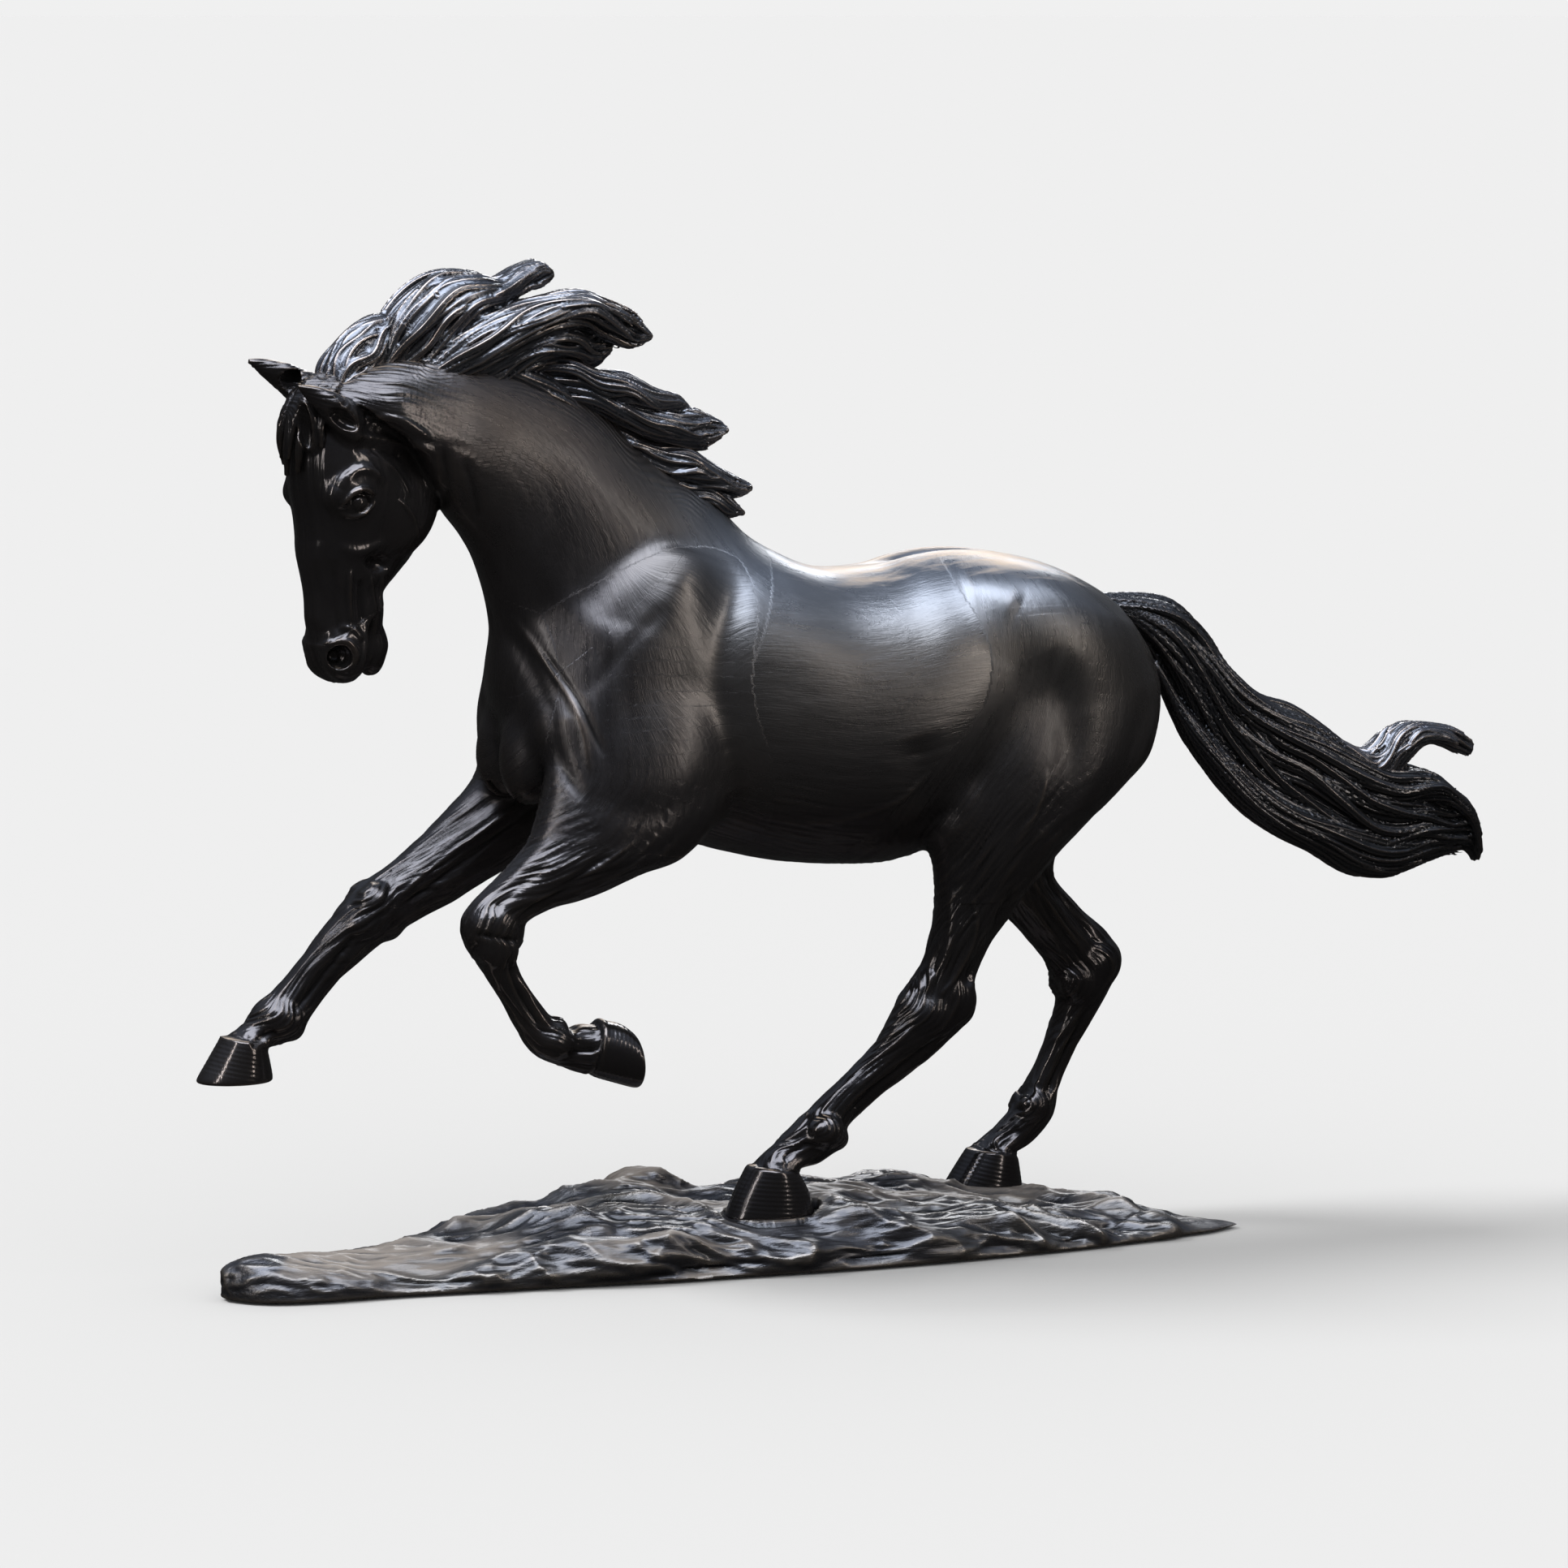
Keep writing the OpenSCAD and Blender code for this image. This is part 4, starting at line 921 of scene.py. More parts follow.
# growth rings and a raised band round the top of the hoof
def hoofRings(points, quads, leg):
    top, sole = np.array(leg["hoof"][0], float), np.array(leg["hoof"][-2], float)
    a = np.array([(top[0] + top[2]) / 2, leg["y"], (top[1] + top[3]) / 2])
    b = np.array([(sole[0] + sole[2]) / 2, leg["y"], (sole[1] + sole[3]) / 2])
    way = (b - a) / np.linalg.norm(b - a)
    along = (points - a) @ way
    gap = np.linalg.norm(points - a - along[:, None] * way, axis=1)
    length = np.linalg.norm(b - a)
    marks = hoofMarks
    on = (gap < marks["reach"]) & (along > marks["above"]) & (along < length - marks["short"])
    wall = np.clip(1 - np.abs(normalsOf(points, quads) @ way), 0, 1)
    rings = marks["ringHeight"] * np.sin(along * 2 * math.pi / marks["ringPitch"])
    rings *= np.clip(along / marks["fade"], 0, 1)
    band = marks["bandHeight"] * np.exp(-((along + marks["bandAt"]) / marks["bandWidth"]) ** 2)
    hoof = (gap < marks["reach"]) & (along > -1)
    return points + normalsOf(points, quads) * np.where(on, (rings + band) * wall, 0)[:, None], hoof


limb = {
    "voxel": 0.55, "reach": 9, "smoothing": 2, "blend": 3.5, "hoofBlend": 2,
    "hoof": {"around": 48, "steps": 4, "fullness": 0.96},
    "sole": {"part": 0.40, "halfWidth": 10, "depth": 2.6, "blend": 0.8},
    "frog": {"behind": 0.16, "radii": (7, 3, 1.9), "blend": 0.8}}


# hollow sole with its frog, under a raised hoof
def addSole(field, leg):
    last = smoothRows(leg["hoof"], 1)[-1]
    x, z = (last[0] + last[2]) / 2, (last[1] + last[3]) / 2
    along, up = last[2] - last[0], last[3] - last[1]
    turn = (0, -math.degrees(math.atan2(up, along)), 0)
    sole, frog = limb["sole"], limb["frog"]
    radii = (math.hypot(along, up) * sole["part"], sole["halfWidth"], sole["depth"])
    blob(field, (x, leg["y"], z), radii, turn, sole["blend"], cut=True)
    spot = (x + along * frog["behind"], leg["y"], z + up * frog["behind"])
    blob(field, spot, frog["radii"], turn, frog["blend"])


def makeLeg(node):
    leg, details = legs[node], legDetails[node]
    field = fieldOf({**limb, **leg})
    buildBody(field)
    for (x, out, z), radii in details["blobs"]:
        for side in ((-1, 1) if out else (0,)):
            blob(field, (x, leg["y"] + out * side, z), radii, (0, 0, 0), limb["blend"])
    addSkin(field, loft(leg["hoof"], **limb["hoof"]), limb["hoofBlend"])
    if node not in standing:
        addSole(field, leg)
    points, quads = skinOf(field, limb["smoothing"])
    points = drawStrokes(points, quads, points[:, [0, 2]], points[:, 1], bodyStrokes + legStrokes)
    points, hoof = hoofRings(points, quads, leg)
    if node in standing:
        points[:, 2] = np.maximum(points[:, 2], standing[node])
    c = leg["cut"]
    cuts = [((c[0], c[1]), (c[2], c[3]), (-leg["away"][0], -leg["away"][1]), None)]
    name = node.split("_")
    name = name[0] + "".join(w.capitalize() for w in name[1:])
    return bodySkin(name, points, quads, patinas["limb"], cuts, ~hoof)


for node in legs:
    place(makeLeg(node), node)


# A lock has a top and a bottom edge in side view, a middle y and a half width along its length.
crestLocks = [
    {"top": [(-252, 372), (-250, 384), (-242, 394), (-232, 402), (-221, 405), (-211, 402)],
     "bottom": [(-238, 366), (-232, 374), (-226, 380), (-220, 385), (-213, 389), (-207, 394)],
     "middle": (-14, -8), "width": (9, 9, 3), "strands": 30},
    {"top": [(-234, 384), (-225, 400), (-213, 414), (-198, 422), (-182, 422), (-171, 419), (-161, 424),
             (-151, 426), (-144, 422)],
     "bottom": [(-204, 372), (-198, 382), (-190, 392), (-181, 399), (-173, 404), (-165, 409), (-156, 413),
                (-149, 415), (-143, 418)],
     "middle": (-10, -4), "width": (13, 17, 13, 4), "strands": 46},
    {"top": [(-216, 386), (-197, 397), (-181, 405), (-168, 409), (-152, 412), (-137, 414), (-126, 411),
             (-112, 405), (-103, 395)],
     "bottom": [(-198, 366), (-184, 376), (-172, 384), (-160, 391), (-148, 396), (-136, 398), (-126, 394),
                (-114, 389), (-103, 392)],
     "middle": (-15, -13), "width": (12, 17, 15, 4), "strands": 44},
    {"top": [(-200, 384), (-184, 392), (-168, 399), (-154, 402), (-140, 402), (-130, 399), (-121, 393)],
     "bottom": [(-182, 366), (-170, 372), (-158, 378), (-147, 382), (-137, 382), (-129, 380), (-119, 387)],
     "middle": (-11, -9), "width": (12, 15, 5), "strands": 36},
    {"top": [(-216, 388), (-196, 391), (-176, 389), (-156, 382), (-138, 372), (-122, 358), (-108, 346)],
     "bottom": [(-214, 378), (-196, 380), (-176, 378), (-158, 370), (-142, 360), (-126, 348), (-110, 342)],
     "middle": (-10, -4), "width": (13, 15, 12, 5), "strands": 36}]
middleLocks = [
    {"top": [(-158, 388), (-142, 387), (-130, 381), (-115, 379), (-101, 372), (-90, 369), (-83, 363)],
     "bottom": [(-146, 370), (-134, 370), (-124, 366), (-113, 363), (-103, 360), (-94, 360), (-84, 362)],
     "middle": (-9, -9), "width": (8, 11, 3), "strands": 28},
    {"top": [(-152, 380), (-136, 376), (-120, 369), (-105, 364), (-92, 363), (-80, 362), (-67, 355)],
     "bottom": [(-140, 360), (-127, 361), (-115, 356), (-103, 351), (-91, 347), (-79, 345), (-67, 352)],
     "middle": (-7, -10), "width": (10, 12, 4), "strands": 34}]
lowerLocks = [
    {"top": [(-126, 364), (-113, 355), (-100, 349), (-86, 347), (-76, 341), (-65, 335), (-55, 330)],
     "bottom": [(-118, 346), (-106, 338), (-94, 332), (-82, 329), (-71, 326), (-62, 324), (-55, 327)],
     "middle": (-6, -8), "width": (8, 10, 3), "strands": 30},
    {"top": [(-98, 340), (-87, 334), (-76, 330), (-66, 325), (-58, 319)],
     "bottom": [(-94, 328), (-85, 324), (-76, 321), (-67, 317), (-58, 317)],
     "middle": (-6, -8), "width": (6, 6, 2), "strands": 14}]
tailLocks = [
    {"top": [(102, 281), (120, 280), (136, 278), (151, 272), (163, 260), (171, 248), (180, 240), (190, 231),
             (204, 226), (218, 217), (233, 206), (248, 200), (264, 197), (276, 188), (285, 184), (292, 174),
             (295, 158)],
     "bottom": [(104, 264), (120, 261), (131, 253), (142, 238), (152, 221), (163, 202), (176, 186),
                (190, 175), (205, 165), (219, 155), (233, 149), (247, 150), (260, 153), (272, 156), (284, 157),
                (290, 156), (293, 152)],
     "middle": (0, -4, -12, -14), "width": (9, 14, 18, 19, 15, 5), "strands": 64, "clumps": 9},
    {"top": [(150, 268), (162, 256), (174, 240), (190, 228), (207, 220), (224, 208), (240, 198), (254, 196),
             (264, 195), (274, 188), (284, 181), (290, 170), (292, 160)],
     "bottom": [(146, 250), (158, 236), (172, 220), (190, 208), (210, 196), (230, 186), (250, 181),
                (264, 182), (274, 180), (282, 174), (287, 167), (289, 161), (291, 156)],
     "middle": (-8, -20, -22), "width": (6, 10, 9, 3), "strands": 22, "clumps": 4},
    {"top": [(140, 246), (150, 228), (163, 212), (180, 196), (200, 184), (222, 176), (242, 171), (258, 168),
             (272, 168), (284, 163)],
     "bottom": [(134, 248), (146, 222), (158, 203), (173, 184), (191, 171), (210, 162), (226, 153),
                (242, 150), (260, 154), (280, 158)],
     "middle": (-6, -18, -20), "width": (6, 10, 9, 3), "strands": 20, "clumps": 4}]
curlLocks = [
    {"top": [(208, 222), (222, 212), (234, 206), (241, 209), (247, 215), (256, 217), (267, 216), (278, 214),
             (288, 208)],
     "bottom": [(214, 198), (226, 192), (238, 187), (246, 191), (254, 198), (262, 206), (270, 207),
                (279, 203), (286, 200)],
     "middle": (-14, -20), "width": (12, 10, 8, 4), "strands": 26}]


def alongLine(values, t):
    values = np.array(values, float)
    spot = np.array(t) * (len(values) - 1)
    if values.ndim == 1:
        return np.interp(spot, np.arange(len(values)), values)
    columns = [np.interp(spot, np.arange(len(values)), column) for column in values.T]
    return np.stack(columns, -1)


# strand tubes wound round each lock, with a core, and the samples that the ridges follow
def locksOf(locks, seed):
    rng = random.Random(seed)
    skins, samples = [], []
    number = 0
    for lock in locks:
        steps = 60
        t = np.linspace(0, 1, steps)
        top = alongLine(smoothRows(lock["top"], 8), t)
        bottom = alongLine(smoothRows(lock["bottom"], 8), t)
        mid = (top + bottom) / 2
        root = 0.4 + 0.6 * np.clip(t / 0.16, 0, 1) ** 0.7  # each lock grows from a narrow root
        half = (top - bottom) / 2 * root[:, None]
        y = alongLine(smoothRows([[m] for m in lock["middle"]], 8), t)[:, 0]
        wide = alongLine(smoothRows([[w] for w in lock["width"]], 8), t)[:, 0] * root
        tall = np.linalg.norm(half, axis=1)
        core = np.zeros((steps, 24, 3))
        for k in range(24):
            a = 2 * math.pi * k / 24
            core[:, k, 0] = mid[:, 0] + half[:, 0] * 0.82 * math.cos(a)
            core[:, k, 2] = mid[:, 1] + half[:, 1] * 0.82 * math.cos(a)
            core[:, k, 1] = y + wide * 0.82 * math.sin(a)
        skins.append(capRings(core))
        count = lock["strands"]
        clumps = [{"drift": rng.uniform(0.12, 0.36), "beat": rng.uniform(0.7, 1.4), "start": rng.random(),
                   "out": rng.uniform(0.80, 0.95)} for _ in range(lock.get("clumps", max(3, count // 7)))]
        twist = rng.uniform(0.1, 0.4) * rng.choice((-1, 1))
        for i in range(count):
            clump = clumps[i * len(clumps) // count]
            end = 1.0 if i % 3 == 0 else rng.uniform(0.84, 0.99)
            n = 56
            s = np.linspace(0, end, n)
            a = (2 * math.pi * (i + rng.uniform(-0.3, 0.3)) / count + twist * s
                 + clump["drift"] * np.sin(2 * math.pi * (s * clump["beat"] + clump["start"]))
                 + 0.12 * np.sin(2 * math.pi * (s * rng.uniform(1.5, 3) + rng.random())))
            m, h = alongLine(mid, s), alongLine(half, s)
            yy, ww, tt = alongLine(y, s), alongLine(wide, s), alongLine(tall, s)
            out = (clump["out"] + rng.uniform(-0.04, 0.05)
                   + 0.04 * np.sin(2 * math.pi * (s * rng.uniform(1, 3) + rng.random()))
                   + 0.25 * np.clip((s / end - 0.88) / 0.12, 0, 1) * (end < 1))
            path = np.stack([m[:, 0] + h[:, 0] * out * np.cos(a), yy + ww * out * np.sin(a),
                             m[:, 1] + h[:, 1] * out * np.cos(a)], 1)
            girth = math.pi * (tt + ww) / count * 0.66 * rng.uniform(0.8, 1.35)
            taper = np.clip((1 - s / end) * 7, 0.2, 1) ** 0.6 * np.clip(s * 12 + 0.5, 0, 1)
            radii = np.clip(girth, 0.85, 3.4) * taper
            skin, side, other = tube(path, radii, 10)
            skins.append(skin)
            ridges = max(3, round(2 * math.pi * radii.max() / 2.4))
            length = np.concatenate([[0], np.cumsum(np.linalg.norm(np.diff(path, axis=0), axis=1))])
            for j in range(n):
                samples.append((path[j], side[j], other[j], ridges, length[j], number, radii[j]))
            number += 1
    return joinSkins(skins), samples


def makeHair(name, locks, voxel, seed, material):
    skin, samples = locksOf(locks, seed)
    points = skin[0]
    field = newField(points.min(0) - 4, points.max(0) + 4, voxel, 3 * voxel)
    addSkin(field, skin, 0)
    points, quads = skinOf(field, 1)
    points, quads = keepOuter(points, quads)
    tree = kdtree.KDTree(len(samples))
    for i, sample in enumerate(samples):
        tree.insert(sample[0], i)
    tree.balance()
    found = [tree.find(p) for p in points]
    nearest = np.array([f[1] for f in found])
    at, side, other, count, length, number, radius = [np.array(v)[nearest] for v in zip(*samples)]
    d = points - at
    angle = np.arctan2((d * other).sum(1), (d * side).sum(1))
    wave = np.cos(count * angle + number * 1.7 + 0.5 * np.sin(length * 0.15 + number))
    moved = points + normalsOf(points, quads) * (0.24 * wave * np.minimum(1, radius / 1.6))[:, None]
    flow = np.stack([angle * radius, length, number * 7.3], 1)
    return castMesh(name, moved, quads, material, (), {"flow": flow, "ridge": ridgeOf(moved, quads, 8, 0.5)})


# drops loose inner shells that overlapping strands can leave
def keepOuter(points, quads):
    parent = np.arange(len(points))
    a = quads.ravel()
    b = np.roll(quads, -1, axis=1).ravel()
    for _ in range(200):
        low = np.minimum(parent[a], parent[b])
        old = parent.copy()
        np.minimum.at(parent, a, low)
        np.minimum.at(parent, b, low)
        parent = parent[parent]
        if (parent == old).all():
            break
    names, counts = np.unique(parent[quads[:, 0]], return_counts=True)
    keep = names[counts > 0.01 * len(quads)]
    quads = quads[np.isin(parent[quads[:, 0]], keep)]
    used = np.unique(quads)
    index = np.full(len(points), -1)
    index[used] = np.arange(len(used))
    return points[used], index[quads]


for name, locks, node, seed in [
        ("maneCrest", crestLocks, "mane_crest_casting", 11),
        ("maneMiddle", middleLocks, "mane_middle_lock", 12),
        ("maneLower", lowerLocks, "mane_lower_lock", 13), ("tail", tailLocks, "tail_casting", 14),
        ("tailCurl", curlLocks, "tail_curl_casting", 15)]:
    voxel = 0.58 if name in ("tail", "maneCrest") else 0.5
    look = patinas["tail" if node == "tail_casting" else "hair"]
    place(makeHair(name, locks, voxel, seed, look), node)


ground = {  # [x, middle y, half width, top z]
    "rows": [
        [-296, -15, 3, 13], [-288, -15, 14, 17], [-276, -15, 21, 18], [-258, -13, 26, 16], [-230, -8, 32, 15],
        [-190, -3, 42, 18], [-150, 0, 50, 24], [-110, 0, 56, 27], [-80, 0, 58, 26], [-40, -1, 60, 25],
        [0, -2, 60, 25], [40, -2, 58, 21], [80, -3, 54, 17], [110, -6, 46, 13], [126, -12, 38, 11],
        [134, -16, 30, 6], [150, -23, 19, 4], [166, -31, 3, 2]],
    "low": (-300, -66, -3), "high": (172, 64, 44), "voxel": 0.9, "reach": 7,
    "felt": 1, "rim": 8, "wall": 4.5, "core": (-226, 82), "boss": (13, 13, 12),
    "clearing": {"up": 22, "radii": (30, 24, 22.5), "blend": 3},
    "pad": {"down": 8, "radii": (24, 20, 8), "blend": 2},
    "calmFrom": -245,  # the long tongue in front of this is smoother
    "bend": (14, 0.012, 4, 0.22), "flatSeat": {"gap": 15, "stretch": 1.45, "depth": 7},
    "relief": {  # scales along, across and up, and a shift
        "folds": (0.016, 0.042, 0.03, 0), "creases": (0.035, 0.11, 0.08, 5),
        "streaks": (0.06, 0.45, 0.4, 9), "fine": (0.05, 0.22, 0.2, 2)},
    "tan": [  # rubbed places in plan: x, y, half length, half width, amount
        (-250, -12, 46, 24, 1.0), (-204, -26, 34, 10, 0.9), (-160, 8, 34, 12, 0.7), (-92, 30, 24, 16, 1.0),
        (-118, -52, 40, 7, 0.8), (-72, -10, 24, 12, 0.9), (-38, -22, 16, 12, 0.7), (10, -10, 40, 10, 0.7),
        (70, 10, 40, 18, 0.6), (110, -22, 16, 12, 0.5)],
    "seats": [(-56, -32, 22), (72, 28, 15)],
    "strokes": [  # in plan: line, radius, height
        ([(-292, -18), (-262, -20), (-228, -12), (-196, -2)], 5, 3.2),
        ([(-290, -8), (-262, -2), (-232, 6), (-204, 18)], 5, -3.0),
        ([(-270, -30), (-240, -30), (-208, -26), (-176, -20)], 4, 2.4),
        ([(-236, -38), (-204, -36), (-170, -32), (-140, -34)], 4, -2.4),
        ([(-200, 6), (-172, -2), (-148, -16), (-128, -34)], 6, 4.0),
        ([(-190, 20), (-160, 12), (-134, -2), (-112, -22)], 4, -2.6),
        ([(-160, -44), (-120, -48), (-84, -54), (-50, -56)], 4, 2.6),
        ([(-150, -36), (-118, -40), (-90, -46)], 3.5, -2.4),
        ([(-120, 2), (-96, -8), (-84, -24), (-84, -44)], 5, 3.0),
        ([(-40, -50), (-6, -46), (30, -50), (66, -52)], 4, 2.6),
        ([(-30, -34), (0, -30), (34, -36), (70, -40)], 4, -2.8),
        ([(-34, -20), (-4, -16), (30, -20), (60, -26)], 5, 3.2),
        ([(-20, 6), (14, 4), (46, -4), (84, -8)], 4, -2.2),
        ([(30, -30), (60, -34), (92, -30), (120, -26)], 4, 2.4),
        ([(84, -46), (104, -40), (124, -34)], 3, -2.2),
        ([(-100, 50), (-50, 48), (0, 50), (50, 46)], 5, 2.4),
        ([(-80, 30), (-40, 34), (0, 30), (30, 34)], 4, -2.4)],
    "rocks": [  # centre, radii, turn, blend
        ((-92, 28, 21), (20, 15, 13), (0, 0, 10), 6), ((-122, 20, 20), (18, 12, 9), (0, -14, 20), 6),
        ((-30, -34, 17), (20, 16, 9), (0, 6, 0), 5), ((-8, -40, 12), (24, 14, 9), (0, 4, -8), 4),
        ((36, -36, 12), (20, 12, 8), (0, 8, 5), 4), ((104, -20, 8), (18, 22, 6), (0, 10, 10), 3),
        ((-150, -30, 13), (26, 12, 7), (0, -8, -12), 5), ((-210, -20, 9), (26, 12, 7), (0, -4, 8), 5),
        ((30, 24, 16), (26, 18, 8), (0, 8, 0), 6), ((-30, 26, 20), (24, 18, 8), (0, 0, 0), 6)]}


def groundSkin(inset=0, drop=0, keep=None):
    rows = smoothRows(ground["rows"], 5)
    if keep:
        rows = rows[(rows[:, 0] > keep[0]) & (rows[:, 0] < keep[1])]
    a = np.linspace(0, math.pi, 25)
    low = ground["felt"]
    rings = np.zeros((len(rows), 26, 3))
    rings[:, :25, 0] = rows[:, :1]
    rings[:, :25, 1] = rows[:, 1:2] + (rows[:, 2:3] - inset) * np.cos(a)
    rings[:, :25, 2] = low - drop + (rows[:, 3:4] - low) * np.sin(a) ** 0.7
    rings[:, 25] = rings[:, 0] * 0.5 + rings[:, 24] * 0.5
    return capRings(rings)


def relief(kind, x, y, z):
    along, across, up, shift = ground["relief"][kind]
    return noise.noise(Vector((x * along, y * across, z * up + shift)))


def makeGround():
    field = fieldOf(ground)
    addSkin(field, groundSkin(), 0)
    for centre, radii, turn, k in ground["rocks"]:
        blob(field, centre, radii, turn, k)
    for x, y, z in ground["seats"]:  # a cleared place round each standing hoof
        room, pad = ground["clearing"], ground["pad"]
        blob(field, (x, y, z + room["up"]), room["radii"], (0, 0, 0), room["blend"], cut=True)
        blob(field, (x, y, z - pad["down"]), pad["radii"], (0, 0, 0), pad["blend"])
    hollow = fieldOf(ground)
    addSkin(hollow, groundSkin(ground["rim"], ground["wall"], ground["core"]), 0)
    for x, y, z in ground["seats"]:
        blob(hollow, (x, y, z - 4), ground["boss"], (0, 0, 0), 2, cut=True)
    field["d"] = softMax(field["d"], -hollow["d"], 0.5)
    z = (np.arange(field["size"][2]) + field["first"][2]) * field["voxel"]
    field["d"] = np.maximum(field["d"], (ground["felt"] - z).astype(np.float32)[None, None, :])
    points, quads = skinOf(field, 1)
    normals = normalsOf(points, quads)
    upper = np.clip((points[:, 2] - 2) / 4, 0, 1) * np.clip(normals[:, 2] * 2 + 0.9, 0, 1)
    lift = np.zeros(len(points))
    ease = np.clip((points[:, 0] - ground["calmFrom"]) / 60, 0.3, 1)
    for line, radius, height in ground["strokes"]:
        lift += height * lineWeight(points[:, :2], line, radius) * ease
    bend, bendScale, bendSeed, slant = ground["bend"]
    for n, (x, y, height) in enumerate(points):  # draped folds that run along the ground
        across = y + (bend * noise.noise(Vector((x * bendScale, y * bendScale, bendSeed))) + slant * x)
        folds = 1 - 2 * abs(relief("folds", x, across, height))
        creases = 1 - 2 * abs(relief("creases", x, across, height))
        streaks = relief("streaks", x, across, height)
        fine = 1 - 2 * abs(relief("fine", x, across, height))
        calm = min(1, max(0.22, (x - ground["calmFrom"]) / 70))
        lift[n] += (5.0 * (folds - 0.55) + 2.2 * (creases - 0.5)) * calm + 0.9 * (fine - 0.5) + 0.5 * streaks
    for x, y, height in ground["seats"]:
        gap = np.hypot(points[:, 0] - x, points[:, 1] - y)
        lift *= np.clip((gap - 19) / 8, 0, 1)
    points = points + normals * (lift * upper)[:, None]
    for x, y, height in ground["seats"]:
        seat = ground["flatSeat"]
        gap = np.hypot((points[:, 0] - x) / seat["stretch"], points[:, 1] - y)
        flat = (gap < seat["gap"]) & (normals[:, 2] > 0) & (points[:, 2] > height - seat["depth"])
        points[flat, 2] = height
    points[:, 2] = np.maximum(points[:, 2], ground["felt"])
    tan = np.zeros(len(points))
    for x, y, wide, deep, amount in ground["tan"]:
        gap = ((points[:, 0] - x) / wide) ** 2 + ((points[:, 1] - y) / deep) ** 2
        tan = np.maximum(tan, amount * np.clip(1.6 - gap, 0, 1))
    end = points[:, 0] + 0.5 * (points[:, 1] + 15) + 274 + 3 * (18 - points[:, 2])
    tan *= np.clip(end / 5, 0, 1)
    painted = {"tan": tan, "ridge": ridgeOf(points, quads, 8, 0.9)}
    return castMesh("groundCasting", points, quads, patinas["ground"], (), painted)


place(makeGround(), "ground_casting")


def plainMetal(name, colour, roughness, bands):
    material, nodes, links = nodesOf(name)
    shader = nodes["Principled BSDF"]
    shader.inputs["Metallic"].default_value = 1.0
    coords = addNode(nodes, "ShaderNodeTexCoord")
    turn = addNode(nodes, "ShaderNodeMapping")
    turn.inputs["Scale"].default_value = bands
    links.new(coords.outputs["Object"], turn.inputs["Vector"])
    marks = addNode(nodes, "ShaderNodeTexNoise", {"Scale": 1.0, "Detail": 3.0})
    links.new(turn.outputs["Vector"], marks.inputs["Vector"])
    tint = rampNode(nodes, [(0.3, [c * 0.7 for c in colour]), (0.7, colour)])
    links.new(marks.outputs["Fac"], tint.inputs["Fac"])
    links.new(tint.outputs["Color"], shader.inputs["Base Color"])
    span = addNode(nodes, "ShaderNodeMapRange", {"To Min": roughness - 0.08, "To Max": roughness + 0.1})
    links.new(marks.outputs["Fac"], span.inputs["Value"])
    links.new(span.outputs["Result"], shader.inputs["Roughness"])
    bump = addNode(nodes, "ShaderNodeBump", {"Strength": 0.25, "Distance": 0.0002})
    links.new(marks.outputs["Fac"], bump.inputs["Height"])
    links.new(bump.outputs["Normal"], shader.inputs["Normal"])
    return material


def feltCloth():
    material, nodes, links = nodesOf("feltCloth")
    shader = nodes["Principled BSDF"]
    shader.inputs["Roughness"].default_value = 0.95
    shader.inputs["Sheen Weight"].default_value = 0.3
    coords = addNode(nodes, "ShaderNodeTexCoord")
    fibres = addNode(nodes, "ShaderNodeTexNoise", {"Scale": 1600.0, "Detail": 4.0, "Distortion": 1.5})
    links.new(coords.outputs["Object"], fibres.inputs["Vector"])
    tint = rampNode(nodes, [(0.3, (0.05, 0.09, 0.06)), (0.7, (0.12, 0.19, 0.14))])
    links.new(fibres.outputs["Fac"], tint.inputs["Fac"])
    links.new(tint.outputs["Color"], shader.inputs["Base Color"])
    bump = addNode(nodes, "ShaderNodeBump", {"Strength": 0.6, "Distance": 0.0003})
    links.new(fibres.outputs["Fac"], bump.inputs["Height"])
    links.new(bump.outputs["Normal"], shader.inputs["Normal"])
    return material


rodBronze = plainMetal("rodBronze", (0.66, 0.49, 0.29), 0.35, (300, 300, 2500))
fixingSteel = plainMetal("fixingSteel", (0.62, 0.63, 0.65), 0.32, (400, 400, 1800))
felt = feltCloth()
for node, material in {"joint_dowels": rodBronze, "hair_pins": rodBronze, "hoof_studs": fixingSteel,
                       "stud_washers": fixingSteel, "stud_nuts": fixingSteel, "felt_discs": felt}.items():
    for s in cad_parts[node].material_slots:
        s.material = material
print("fixings painted")


view = {"at": (-1.2333, -2.6892, 0.5364), "target": (-0.0209, 0.0339, 0.1968), "angle": 12.86}
camera = bpy.data.objects.new("camera", bpy.data.cameras.new("camera"))
bpy.context.scene.collection.objects.link(camera)
camera.location = view["at"]
camera.rotation_euler = (Vector(view["target"]) - Vector(view["at"])).to_track_quat("-Z", "Y").to_euler()
camera.data.sensor_fit = "HORIZONTAL"
camera.data.angle = math.radians(view["angle"])
bpy.context.scene.camera = camera

studio = {
    "paper": 0.6, "floorRadius": 150, "floorInGloss": 0.03, "sky": 0.872,
    "zenith": (0.50, 0.60, 0.78), "middle": (0.07, 0.075, 0.085), "horizon": (0.03, 0.028, 0.027),
    "sun": {"turn": (-16, -40, 0), "strength": 2.42, "angle": 26},
    "lights": [  # place, aim, width, depth, watts, colour
        ((-0.38, -0.54, 1.8), (-0.05, 0, 0.2), 2.2, 1.45, 92, (0.80, 0.88, 1.0)),
        ((1.0, -1.5, 0.8), (0, 0, 0.2), 0.08, 1.1, 5, (1.0, 0.93, 0.85)),
        ((-1.7, -0.8, 0.9), (0, 0, 0.2), 0.07, 1.0, 6.5, (1.0, 0.98, 0.95)),
        ((0.7, 1.3, 1.0), (0, 0, 0.2), 0.8, 0.4, 8, (0.95, 0.97, 1.0))]}
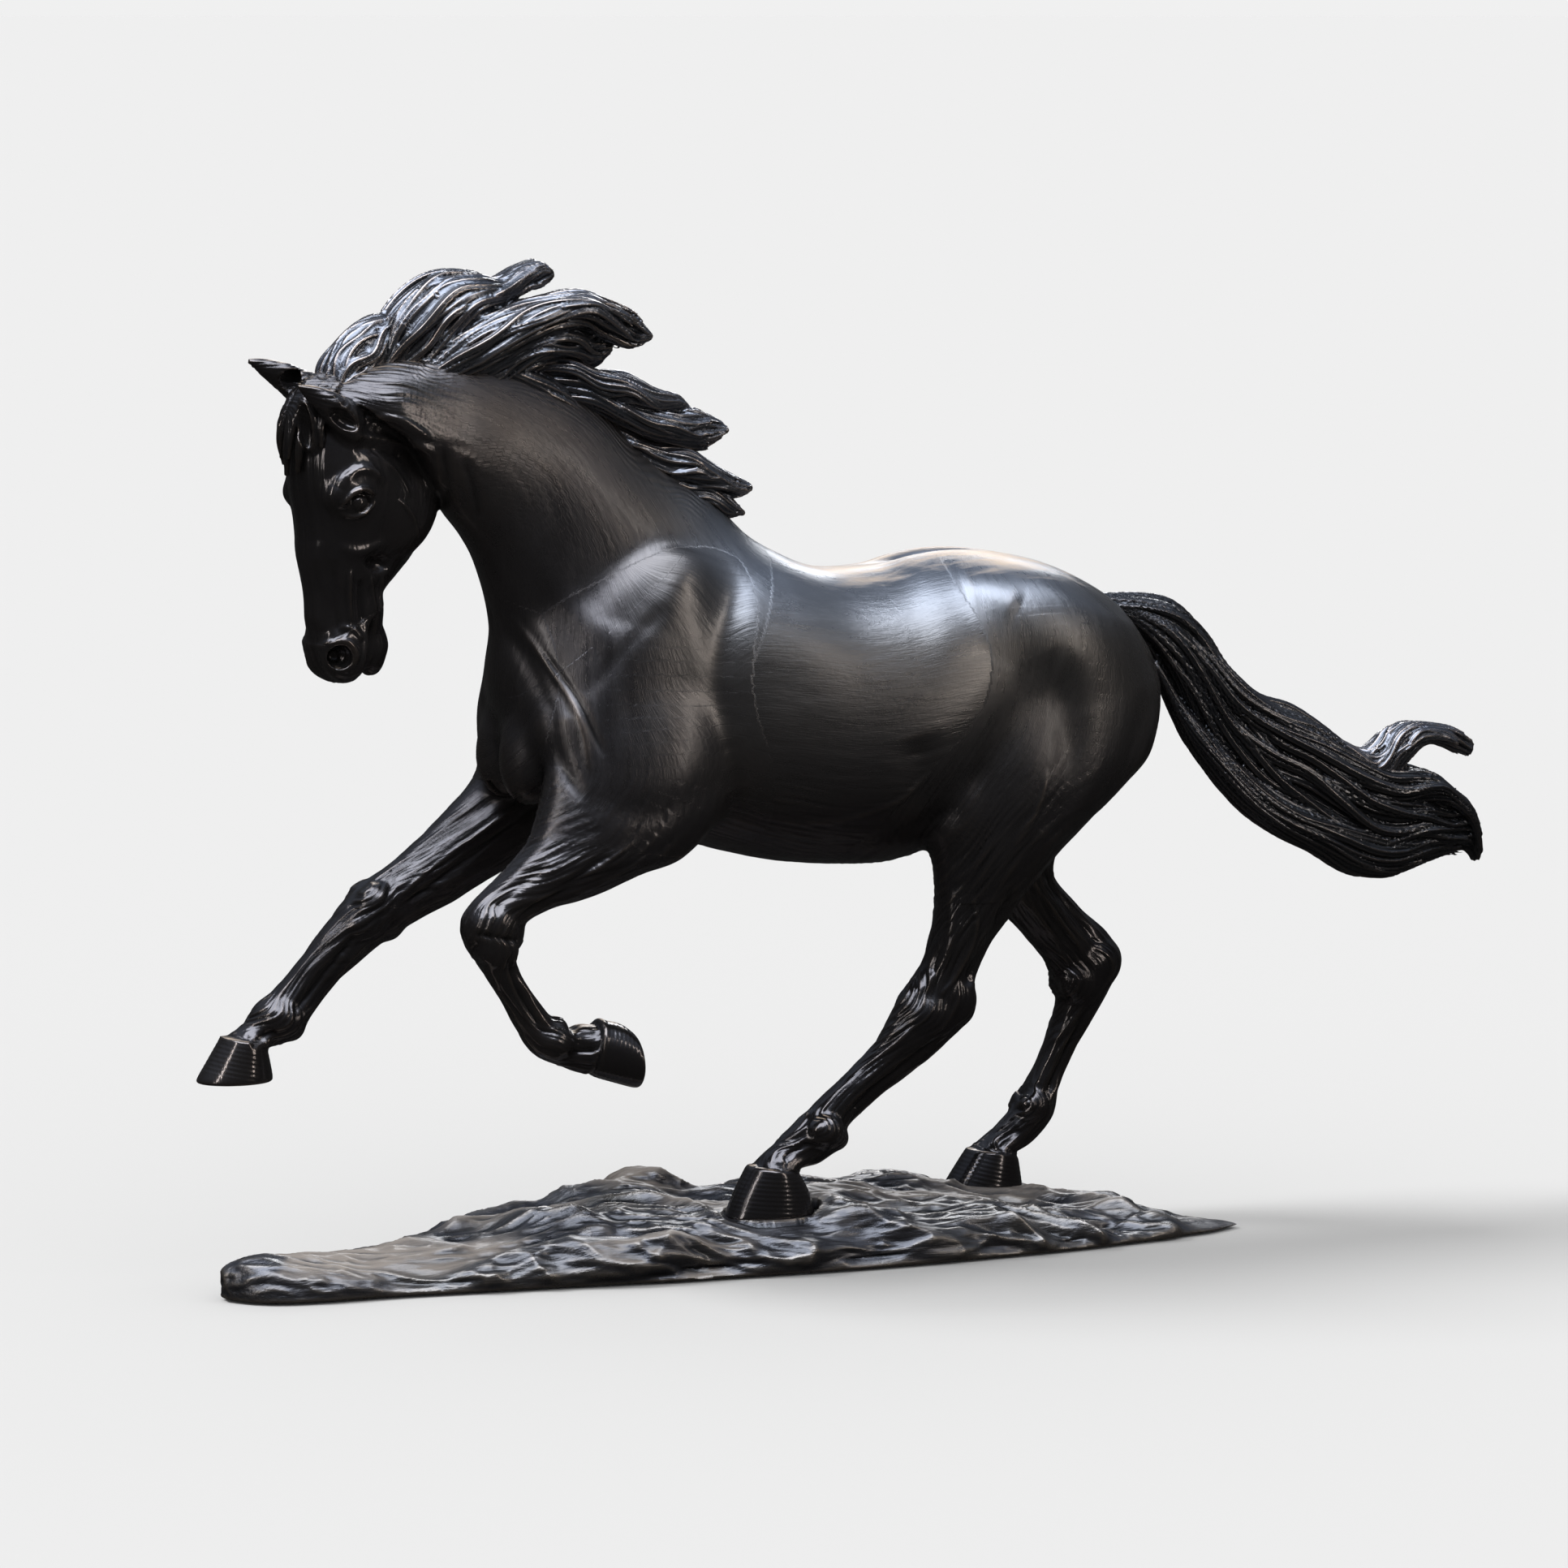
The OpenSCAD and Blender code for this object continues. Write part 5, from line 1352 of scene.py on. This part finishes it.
bpy.context.scene.view_settings.view_transform = "Standard"


def makeFloor():
    bm = bmesh.new()
    r = studio["floorRadius"]
    turns = np.linspace(0, 2 * math.pi, 96, endpoint=False)
    ring = [bm.verts.new((r * math.cos(a), r * math.sin(a), 0)) for a in turns]
    bm.faces.new(ring)
    mesh = bpy.data.meshes.new("floor")
    bm.to_mesh(mesh)
    bm.free()
    ob = bpy.data.objects.new("floor", mesh)
    bpy.context.scene.collection.objects.link(ob)
    material, nodes, links = nodesOf("paleFloor")
    nodes.remove(nodes["Principled BSDF"])
    paper = addNode(nodes, "ShaderNodeBsdfDiffuse", {"Color": (*[studio["paper"]] * 3, 1)})
    # in reflections the paper shows only as a dim glow, a painted dark reflection under the bronze
    paintedDarkReflection = addNode(nodes, "ShaderNodeEmission",
                  {"Color": (0.9, 0.9, 0.9, 1), "Strength": studio["floorInGloss"]})
    path = addNode(nodes, "ShaderNodeLightPath")
    mix = addNode(nodes, "ShaderNodeMixShader")
    links.new(path.outputs["Is Glossy Ray"], mix.inputs[0])
    links.new(paper.outputs[0], mix.inputs[1])
    links.new(paintedDarkReflection.outputs[0], mix.inputs[2])
    links.new(mix.outputs[0], nodes["Material Output"].inputs["Surface"])
    mesh.materials.append(material)


def makeSky():
    world = bpy.data.worlds.new("studio")
    bpy.context.scene.world = world
    world.use_nodes = True
    nodes, links = world.node_tree.nodes, world.node_tree.links
    nodes.clear()
    coords = addNode(nodes, "ShaderNodeTexCoord")
    split = addNode(nodes, "ShaderNodeSeparateXYZ")
    links.new(coords.outputs["Generated"], split.inputs["Vector"])
    ramp = rampNode(nodes, [(0.0, studio["horizon"]), (0.35, studio["middle"]), (1.0, studio["zenith"])])
    links.new(split.outputs["Z"], ramp.inputs["Fac"])
    gloss = addNode(nodes, "ShaderNodeBackground", {"Strength": 1.0})
    links.new(ramp.outputs["Color"], gloss.inputs["Color"])
    plain = addNode(nodes, "ShaderNodeBackground", {"Color": (1, 1, 1, 1), "Strength": studio["sky"]})
    path = addNode(nodes, "ShaderNodeLightPath")
    mix = addNode(nodes, "ShaderNodeMixShader")
    links.new(path.outputs["Is Glossy Ray"], mix.inputs[0])
    links.new(plain.outputs[0], mix.inputs[1])
    links.new(gloss.outputs[0], mix.inputs[2])
    out = addNode(nodes, "ShaderNodeOutputWorld")
    links.new(mix.outputs[0], out.inputs["Surface"])


# the soft boxes light the bronze, and the sun only the paper
def lightOnly(light, name, obs):
    group = bpy.data.collections.new(name)
    for ob in obs:
        group.objects.link(ob)
    light.light_linking.receiver_collection = group


def makeLights():
    pieces = [o for o in bpy.data.objects if o.type == "MESH" and o.name != "floor"]
    sun = bpy.data.lights.new("sun", "SUN")
    sun.energy = studio["sun"]["strength"]
    sun.angle = math.radians(studio["sun"]["angle"])
    ob = bpy.data.objects.new("sun", sun)
    bpy.context.scene.collection.objects.link(ob)
    ob.rotation_euler = [math.radians(a) for a in studio["sun"]["turn"]]
    lightOnly(ob, "paperLit", [bpy.data.objects["floor"]])
    for i, (at, aim, width, depth, watts, colour) in enumerate(studio["lights"]):
        light = bpy.data.lights.new("softbox%d" % i, "AREA")
        light.shape = "RECTANGLE"
        light.size, light.size_y = width, depth
        light.energy = watts
        light.color = colour
        ob = bpy.data.objects.new(light.name, light)
        bpy.context.scene.collection.objects.link(ob)
        ob.location = at
        ob.rotation_euler = (Vector(aim) - Vector(at)).to_track_quat("-Z", "Y").to_euler()
        lightOnly(ob, "bronzeLit%d" % i, pieces)


makeFloor()
makeSky()
makeLights()
print("camera, floor and lights placed")
